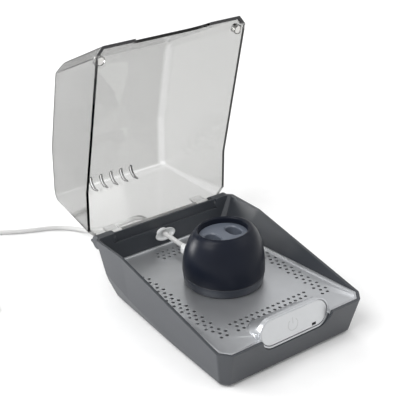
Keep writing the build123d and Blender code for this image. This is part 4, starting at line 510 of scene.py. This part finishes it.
FINISHES = {
    "base_shell": base_plastic, "bottom_cover": base_plastic, "rubber_feet": black_rubber,
    "cover_screws": steel, "catch_magnets": nickel, "hinge_pins": pin_steel,
    "tray": tray_metal, "power_button": button_metal, "led_window": window,
    "switch_plunger": black_plastic, "tact_switch": black_plastic, "button_board": mask_green,
    "lid_shell": lid_clear, "lid_magnets": nickel, "fan_frame": fan_plastic,
    "fan_stator": lamination, "fan_impeller": fan_plastic, "heater_bracket": zinc,
    "heater_element": fins, "control_board": mask_green, "power_inlet": inlet_plastic,
    "dock_base_ring": dock_gloss, "dock_receptacle": steel, "dock_body": dock_gloss,
    "dock_cradle": cradle_grey, "charging_contacts": gold, "dock_board": mask_green,
    "dock_plug": white_gloss, "dock_plug_tip": steel, "dock_lead": white_rubber,
    "wall_grommet": white_gloss, "power_cord": white_rubber, "cord_coil": white_rubber,
    "cord_tail": white_rubber, "usb_plug_body": white_gloss, "usb_plug_shell": steel,
}


def dress(obj, finish):
    """Gives an object one material in all its slots."""
    if not obj.material_slots:
        obj.data.materials.append(finish)
    for holder in obj.material_slots:
        holder.material = finish


for node_name, finish in FINISHES.items():
    dress(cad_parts[node_name], finish)
dress(charger_cord, white_rubber)
dress(plug_body, white_gloss)
dress(plug_shell, steel)

# ---------------------------------------------------------------- symbol on the button
# A plain power symbol, printed a hair proud of the button's face.
PANEL_LEAN = math.radians(8.0)
PANEL_PLACE = Vector((0.0, -104.45, 29.2))
BUTTON_SET = 0.3               # how far the button's face lies behind the panel's
ICON_PLACE = (-1.5, -0.6)      # across and up from the panel's centre
ICON_R = 4.0
ICON_LINE = 0.50
ICON_RISE = 0.05               # of the print in front of the button's face
ICON_GAP = 38.0                # degrees each side of the top that the ring leaves open
ICON_BAR = (0.6, 5.0)          # ends of the bar above the ring's centre
ICON_STEPS = 40
panel_up = Vector((0.0, math.sin(PANEL_LEAN), math.cos(PANEL_LEAN)))
panel_out = Vector((0.0, -math.cos(PANEL_LEAN), math.sin(PANEL_LEAN)))


def on_panel(across, up, out):
    """A point beside, above and in front of the button panel's centre."""
    place = PANEL_PLACE + Vector((across, 0, 0)) + panel_up * up + panel_out * out
    return place * MM


def flat_stroke(mesh, path, width, low, high):
    """Adds a flat bar with square sides, width to each side of a path on the panel."""
    rings = []
    for i, (x, y) in enumerate(path):
        before = path[max(i - 1, 0)]
        after = path[min(i + 1, len(path) - 1)]
        run = Vector((after[0] - before[0], after[1] - before[1])).normalized()
        side = Vector((-run.y, run.x)) * width
        rings.append([mesh.verts.new(on_panel(x + s * side.x, y + s * side.y, out))
                      for s, out in ((-1, low), (1, low), (1, high), (-1, high))])
    for near, far in zip(rings, rings[1:]):
        tube_faces(mesh, near, far)
    mesh.faces.new(rings[0])
    mesh.faces.new(list(reversed(rings[-1])))


symbol = bmesh.new()
ring = [(ICON_PLACE[0] + ICON_R * math.sin(math.radians(a)),
         ICON_PLACE[1] + ICON_R * math.cos(math.radians(a)))
        for a in [ICON_GAP + i * (360 - 2 * ICON_GAP) / ICON_STEPS for i in range(ICON_STEPS + 1)]]
bar = [(ICON_PLACE[0], ICON_PLACE[1] + end) for end in ICON_BAR]
for path in (ring, bar):
    flat_stroke(symbol, path, ICON_LINE / 2, -BUTTON_SET - ICON_RISE, -BUTTON_SET + ICON_RISE)
bmesh.ops.recalc_face_normals(symbol, faces=symbol.faces)
power_symbol = object_of("power_symbol", symbol)
dress(power_symbol, icon_ink)
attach(power_symbol, "button")

# ---------------------------------------------------------------- dock
# The charging dock's ring and body: oval in plan, widest low down, rounded at the crown.
OVAL_STEPS = 144
DOCK_PLACE = (0.3, -31.8)
DOCK_FOOT_Z = 27.3
DOCK_WALL = 2.4
WELL_PLACE = (0.0, -31.25)
WELL = (17.6, 14.9)            # half length and half width
CEILING = 24.0                 # of the hollow inside, above the foot
CROWN_STRAIGHT = 36.6          # height to which the well's wall is straight
SMOOTH_PARTS = 5               # rows made of each row of the side
DOCK_SHARP = 38.0              # degrees
# Half length along X, half width along Y, height above the foot.
RING_OUTSIDE = [(26.3, 26.3, 0.0), (26.75, 26.75, 0.12), (27.0, 27.0, 0.5), (27.65, 27.65, 5.6),
                (27.6, 27.6, 6.0), (27.2, 27.2, 6.4)]
RING_INSIDE = [(25.2, 25.2, 6.4), (24.4, 24.4, 2.0)]
BODY_EDGE = [(27.2, 27.2, 6.5), (27.75, 27.7, 6.75)]
BODY_SIDE = [(28.05, 27.9, 7.4), (28.5, 26.9, 13.1), (28.3, 25.2, 20.0), (26.9, 22.9, 27.0),
             (24.7, 20.4, 32.6), (22.4, 18.3, 36.1), (21.3, 17.55, 37.25), (20.3, 16.85, 38.0),
             (19.3, 16.2, 38.4)]
WELL_EDGE = [(18.5, 15.65, 38.3), (17.95, 15.2, 37.9), (17.65, 14.95, 37.2)]


def smooth_rows(rows):
    """The rows with more rows between them on a smooth curve."""
    ends = [rows[0]] + rows + [rows[-1]]
    filled = []
    for before, low, high, after in zip(ends, ends[1:], ends[2:], ends[3:]):
        for part in range(SMOOTH_PARTS):
            t = part / SMOOTH_PARTS
            filled.append(tuple(
                0.5 * (2 * q + (r - p) * t + (2 * p - 5 * q + 4 * r - u) * t ** 2
                       + (3 * q - p - 3 * r + u) * t ** 3)
                for p, q, r, u in zip(before, low, high, after)))
    return filled + [rows[-1]]


def oval_skin(name, rows, closed):
    """A skin through ovals given as centre, half length, half width and height.

    It is closed from the last oval to the first, or capped at both.
    """
    mesh = bmesh.new()
    loops = []
    for (x, y), half_x, half_y, height in rows:
        loops.append([mesh.verts.new(((x + half_x * math.cos(turn)) * MM,
                                      (y + half_y * math.sin(turn)) * MM,
                                      (DOCK_FOOT_Z + height) * MM))
                      for turn in circle_turns(OVAL_STEPS)])
    pairs = list(zip(loops, loops[1:]))
    if closed:
        pairs.append((loops[-1], loops[0]))
    else:
        mesh.faces.new(list(reversed(loops[0])))
        mesh.faces.new(loops[-1])
    for low, high in pairs:
        tube_faces(mesh, low, high)
    bmesh.ops.recalc_face_normals(mesh, faces=mesh.faces)
    return object_of(name, mesh)


PLUG_AXIS = (-2.6, 34.6)       # X and height of the plug in the dock's back
POCKET_SIZE = (10.8, 7.4, 2.2)         # width, height, corner radius
POCKET_SPAN = (-4.85, 7.15)            # along Y
SLOT_SIZE = (8.6, 2.9, 1.45)
SLOT_SPAN = (-11.05, -4.7)
CORNER_STEPS = 8


def cut_by_prism(obj, size, span):
    """Cuts a prism along Y, a rectangle with round corners about the plug's axis, out of obj."""
    width, height, corner = size
    outline = []
    for quarter, (sx, sz) in enumerate(((1, 1), (-1, 1), (-1, -1), (1, -1))):
        for step in range(CORNER_STEPS + 1):
            turn = math.pi / 2 * (quarter + step / CORNER_STEPS)
            outline.append((PLUG_AXIS[0] + sx * (width / 2 - corner) + corner * math.cos(turn),
                            PLUG_AXIS[1] + sz * (height / 2 - corner) + corner * math.sin(turn)))
    mesh = bmesh.new()
    near, far = [[mesh.verts.new((x * MM, y * MM, z * MM)) for x, z in outline] for y in span]
    tube_faces(mesh, near, far)
    mesh.faces.new(near)
    mesh.faces.new(far)
    bmesh.ops.remove_doubles(mesh, verts=mesh.verts, dist=WELD * MM)
    bmesh.ops.recalc_face_normals(mesh, faces=mesh.faces)
    cut_out(obj, object_of("cutter", mesh))


def finish_dock_piece(obj, node, finish):
    """Cuts the plug's recess, smooths the shading and puts the piece in its node's place."""
    cut_by_prism(obj, POCKET_SIZE, POCKET_SPAN)
    cut_by_prism(obj, SLOT_SIZE, SLOT_SPAN)
    smooth_but_sharp(obj, DOCK_SHARP)
    dress(obj, finish)
    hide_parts(node)
    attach(obj, "dock")


outside = BODY_EDGE + smooth_rows(BODY_SIDE)
hollow = [(half_x - DOCK_WALL, half_y - DOCK_WALL, height)
          for half_x, half_y, height in reversed(outside) if height < CEILING]
body_rows = [(DOCK_PLACE, *row) for row in outside]
body_rows += [(WELL_PLACE, *row) for row in WELL_EDGE]
body_rows += [(WELL_PLACE, *WELL, CROWN_STRAIGHT), (WELL_PLACE, *WELL, CEILING)]
body_rows += [(DOCK_PLACE, *hollow[0][:2], CEILING)]
body_rows += [(DOCK_PLACE, *row) for row in hollow]
finish_dock_piece(oval_skin("dock_body_skin", body_rows, True), "dock_body", dock_gloss)
ring_rows = [(DOCK_PLACE, *row) for row in RING_OUTSIDE + RING_INSIDE]
# The base ring takes the lighter, painted-light copy of the dock's plastic.
finish_dock_piece(oval_skin("dock_ring_skin", ring_rows, False), "dock_base_ring",
                  dock_ring_lit_gloss)

# ---------------------------------------------------------------- tray
# The tray again, with wider holes and the four that end the sides' columns at the front. Columns
# count half pitches to the right, and rows count back from the first front or rear row.
HOLE_R = 1.16
HOLE_SIDES = 20
HOLE_SPAN = (24.9, 27.7)       # from below the tray's sheet to above it
TRAY_SHARP = 20.0              # degrees
HALF_PITCH_X = 2.25
PITCH_Y = 4.25
FRONT_ROW_Y = -78.25
REAR_ROW_Y = 14.95
MIDDLE_COLUMN = 14
SIDE_COLUMNS = [(-4, range(0, 19, 2)), (-5, range(-1, 22, 2)),
                (-6, range(-2, 17, 2)), (-7, range(1, 14, 2))]
EXTRA_HOLES = [(-3, -1), (-4, -2), (32, -2), (35, -1)]
FRONT_ROWS = [(0, range(0, 29, 2)), (-1, range(1, 28, 2)), (-2, [0, 2, 4, 24, 26, 28])]
REAR_ROWS = [(0, range(7, 22, 2)), (1, range(6, 23, 2)), (2, range(7, 22, 2))]

left_side = [(column, row) for column, rows in SIDE_COLUMNS for row in rows]
front_holes = left_side + [(2 * MIDDLE_COLUMN - column, row) for column, row in left_side]
front_holes += [(column, row) for row, columns in FRONT_ROWS for column in columns] + EXTRA_HOLES
rear_holes = [(column, row) for row, columns in REAR_ROWS for column in columns]
punches = bmesh.new()
for first_row, holes in ((FRONT_ROW_Y, front_holes), (REAR_ROW_Y, rear_holes)):
    for column, row in holes:
        x = (column - MIDDLE_COLUMN) * HALF_PITCH_X
        y = first_row + row * PITCH_Y
        low, high = [[punches.verts.new(((x + HOLE_R * math.cos(turn)) * MM,
                                         (y + HOLE_R * math.sin(turn)) * MM, z * MM))
                      for turn in circle_turns(HOLE_SIDES)] for z in HOLE_SPAN]
        tube_faces(punches, low, high)
        punches.faces.new(list(reversed(low)))
        punches.faces.new(high)
tray_skin = object_of("tray_skin", copied_mesh("tray"))
dress(tray_skin, tray_metal)
cut_out(tray_skin, object_of("punches", punches))
smooth_but_sharp(tray_skin, TRAY_SHARP)
flats = tray_skin.modifiers.new("flats", "WEIGHTED_NORMAL")
flats.keep_sharp = True
tray_skin.data = evaluated_mesh(tray_skin)
tray_skin.modifiers.clear()
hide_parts("tray")
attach(tray_skin, "base")

# ---------------------------------------------------------------- lid vents
# A dark line round each of the vents in the lid's rounded rear corner: painted shade for the dark
# look of the vents' cut walls in the clear plastic.
HINGE = (38.35, 43.0)          # Y and Z of the hinge's axis
OPEN_TURN = math.radians(89.2)
VENT_MIDDLE = (30.59, 108.26)  # Y and Z in the closed lid
VENT_TURN = math.radians(58.0)         # of the way that a vent faces, from +Y upwards
VENT_PITCH = 9.05
VENT_COUNT = 5
VENT_HALF = (1.0, 5.85)        # half width and half length
ARC_MIDDLE = (26.6, 104.3)     # Y and Z of the rounded corner's axis
ARC_R = (7.0, 9.0)             # inner and outer face
# Radius of the painted shade lines round the vents.
SHADE_LINE_R = 0.17
SHADE_LINE_ROUND_STEPS = 2
VENT_STEPS = 12
REACH = 12.0                   # of the search for the corner's face, each way
HALVINGS = 40
vent_out = (math.cos(VENT_TURN), math.sin(VENT_TURN))
vent_down = (math.sin(VENT_TURN), -math.cos(VENT_TURN))


def on_lid_corner(across, down, radius):
    """A point of a vent's outline on the rounded corner's face, carried to the open lid."""
    def outside(reach):
        y = VENT_MIDDLE[0] + down * vent_down[0] + reach * vent_out[0] - ARC_MIDDLE[0]
        z = VENT_MIDDLE[1] + down * vent_down[1] + reach * vent_out[1] - ARC_MIDDLE[1]
        return (math.hypot(y, z) if y > 0 and z > 0 else max(y, z)) - radius, y, z

    near, far = -REACH, REACH
    for _ in range(HALVINGS):
        middle = (near + far) / 2
        if outside(middle)[0] < 0:
            near = middle
        else:
            far = middle
    y, z = outside(near)[1:]
    y += ARC_MIDDLE[0] - HINGE[0]
    z += ARC_MIDDLE[1] - HINGE[1]
    return (across, HINGE[0] + y * math.cos(OPEN_TURN) + z * math.sin(OPEN_TURN),
            HINGE[1] - y * math.sin(OPEN_TURN) + z * math.cos(OPEN_TURN))


edges = bpy.data.curves.new("vent_shade_lines", "CURVE")
edges.dimensions = "3D"
edges.bevel_depth = SHADE_LINE_R * MM
edges.bevel_resolution = SHADE_LINE_ROUND_STEPS
half_width, half_length = VENT_HALF
for count in range(VENT_COUNT):
    middle_x = (count - (VENT_COUNT - 1) / 2) * VENT_PITCH
    for radius in ARC_R:
        line = []
        for end in (1, -1):
            for i in range(VENT_STEPS + 1):
                turn = math.pi * i / VENT_STEPS
                line.append((middle_x + end * half_width * math.cos(turn),
                             end * (half_length - half_width + half_width * math.sin(turn))))
            side_x = line[-1][0]
            for i in range(1, VENT_STEPS):
                line.append((side_x, end * (half_length - half_width) * (1 - 2 * i / VENT_STEPS)))
        spline = edges.splines.new("POLY")
        spline.points.add(len(line) - 1)
        for point, (across, down) in zip(spline.points, line):
            point.co = (*(v * MM for v in on_lid_corner(across, down, radius)), 1.0)
        spline.use_cyclic_u = True
edge_curves = linked("vent_shade_line_curves", edges)
vent_shade_lines = linked("vent_shade_lines", evaluated_mesh(edge_curves))
bpy.data.objects.remove(edge_curves)
vent_shade_lines.data.shade_smooth()
dress(vent_shade_lines, vent_shade_line)
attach(vent_shade_lines, "lid")

# ---------------------------------------------------------------- floor, lights
FLOOR_HALF = 4.0               # metres
DRYER = (0, 0, 0.03)           # where most lights aim, in metres
LIGHTS = [                     # name, place, aim, size in metres, power in watts
    ("key", (-0.9, -0.2, 1.1), DRYER, 0.9, 13.0),
    ("fill", (0.9, -0.9, 0.9), DRYER, 0.9, 3.0),
    ("back", (0.3, 1.2, 1.0), (0, 0, 0.06), 0.9, 5.0),
    ("side", (-0.8, 0.95, 0.22), DRYER, 0.5, 14.0),
]
WORLD_STRENGTH = 0.75

floor_mesh = bpy.data.meshes.new("floor")
floor_mesh.from_pydata([(x * FLOOR_HALF, y * FLOOR_HALF, 0)
                        for x, y in ((-1, -1), (1, -1), (1, 1), (-1, 1))], [], [(0, 1, 2, 3)])
floor = linked("floor", floor_mesh)
dress(floor, finish_of("floor", (0.86, 0.86, 0.86), 0.7, grain=3.0, depth=0.0, tone=0.01))


def soft_light(name, place, aim, size, power):
    """A square area light at place that faces aim."""
    data = bpy.data.lights.new(name, "AREA")
    data.size = size
    data.energy = power
    lamp = linked(name, data)
    lamp.location = place
    lamp.rotation_euler = (Vector(aim) - Vector(place)).to_track_quat("-Z", "Y").to_euler()


for light in LIGHTS:
    soft_light(*light)

world = bpy.data.worlds.new("studio")
world.use_nodes = True
background = world.node_tree.nodes["Background"]
background.inputs["Color"].default_value = (1.0, 1.0, 1.0, 1.0)
background.inputs["Strength"].default_value = WORLD_STRENGTH
bpy.context.scene.world = world
bpy.context.scene.view_settings.view_transform = "Standard"
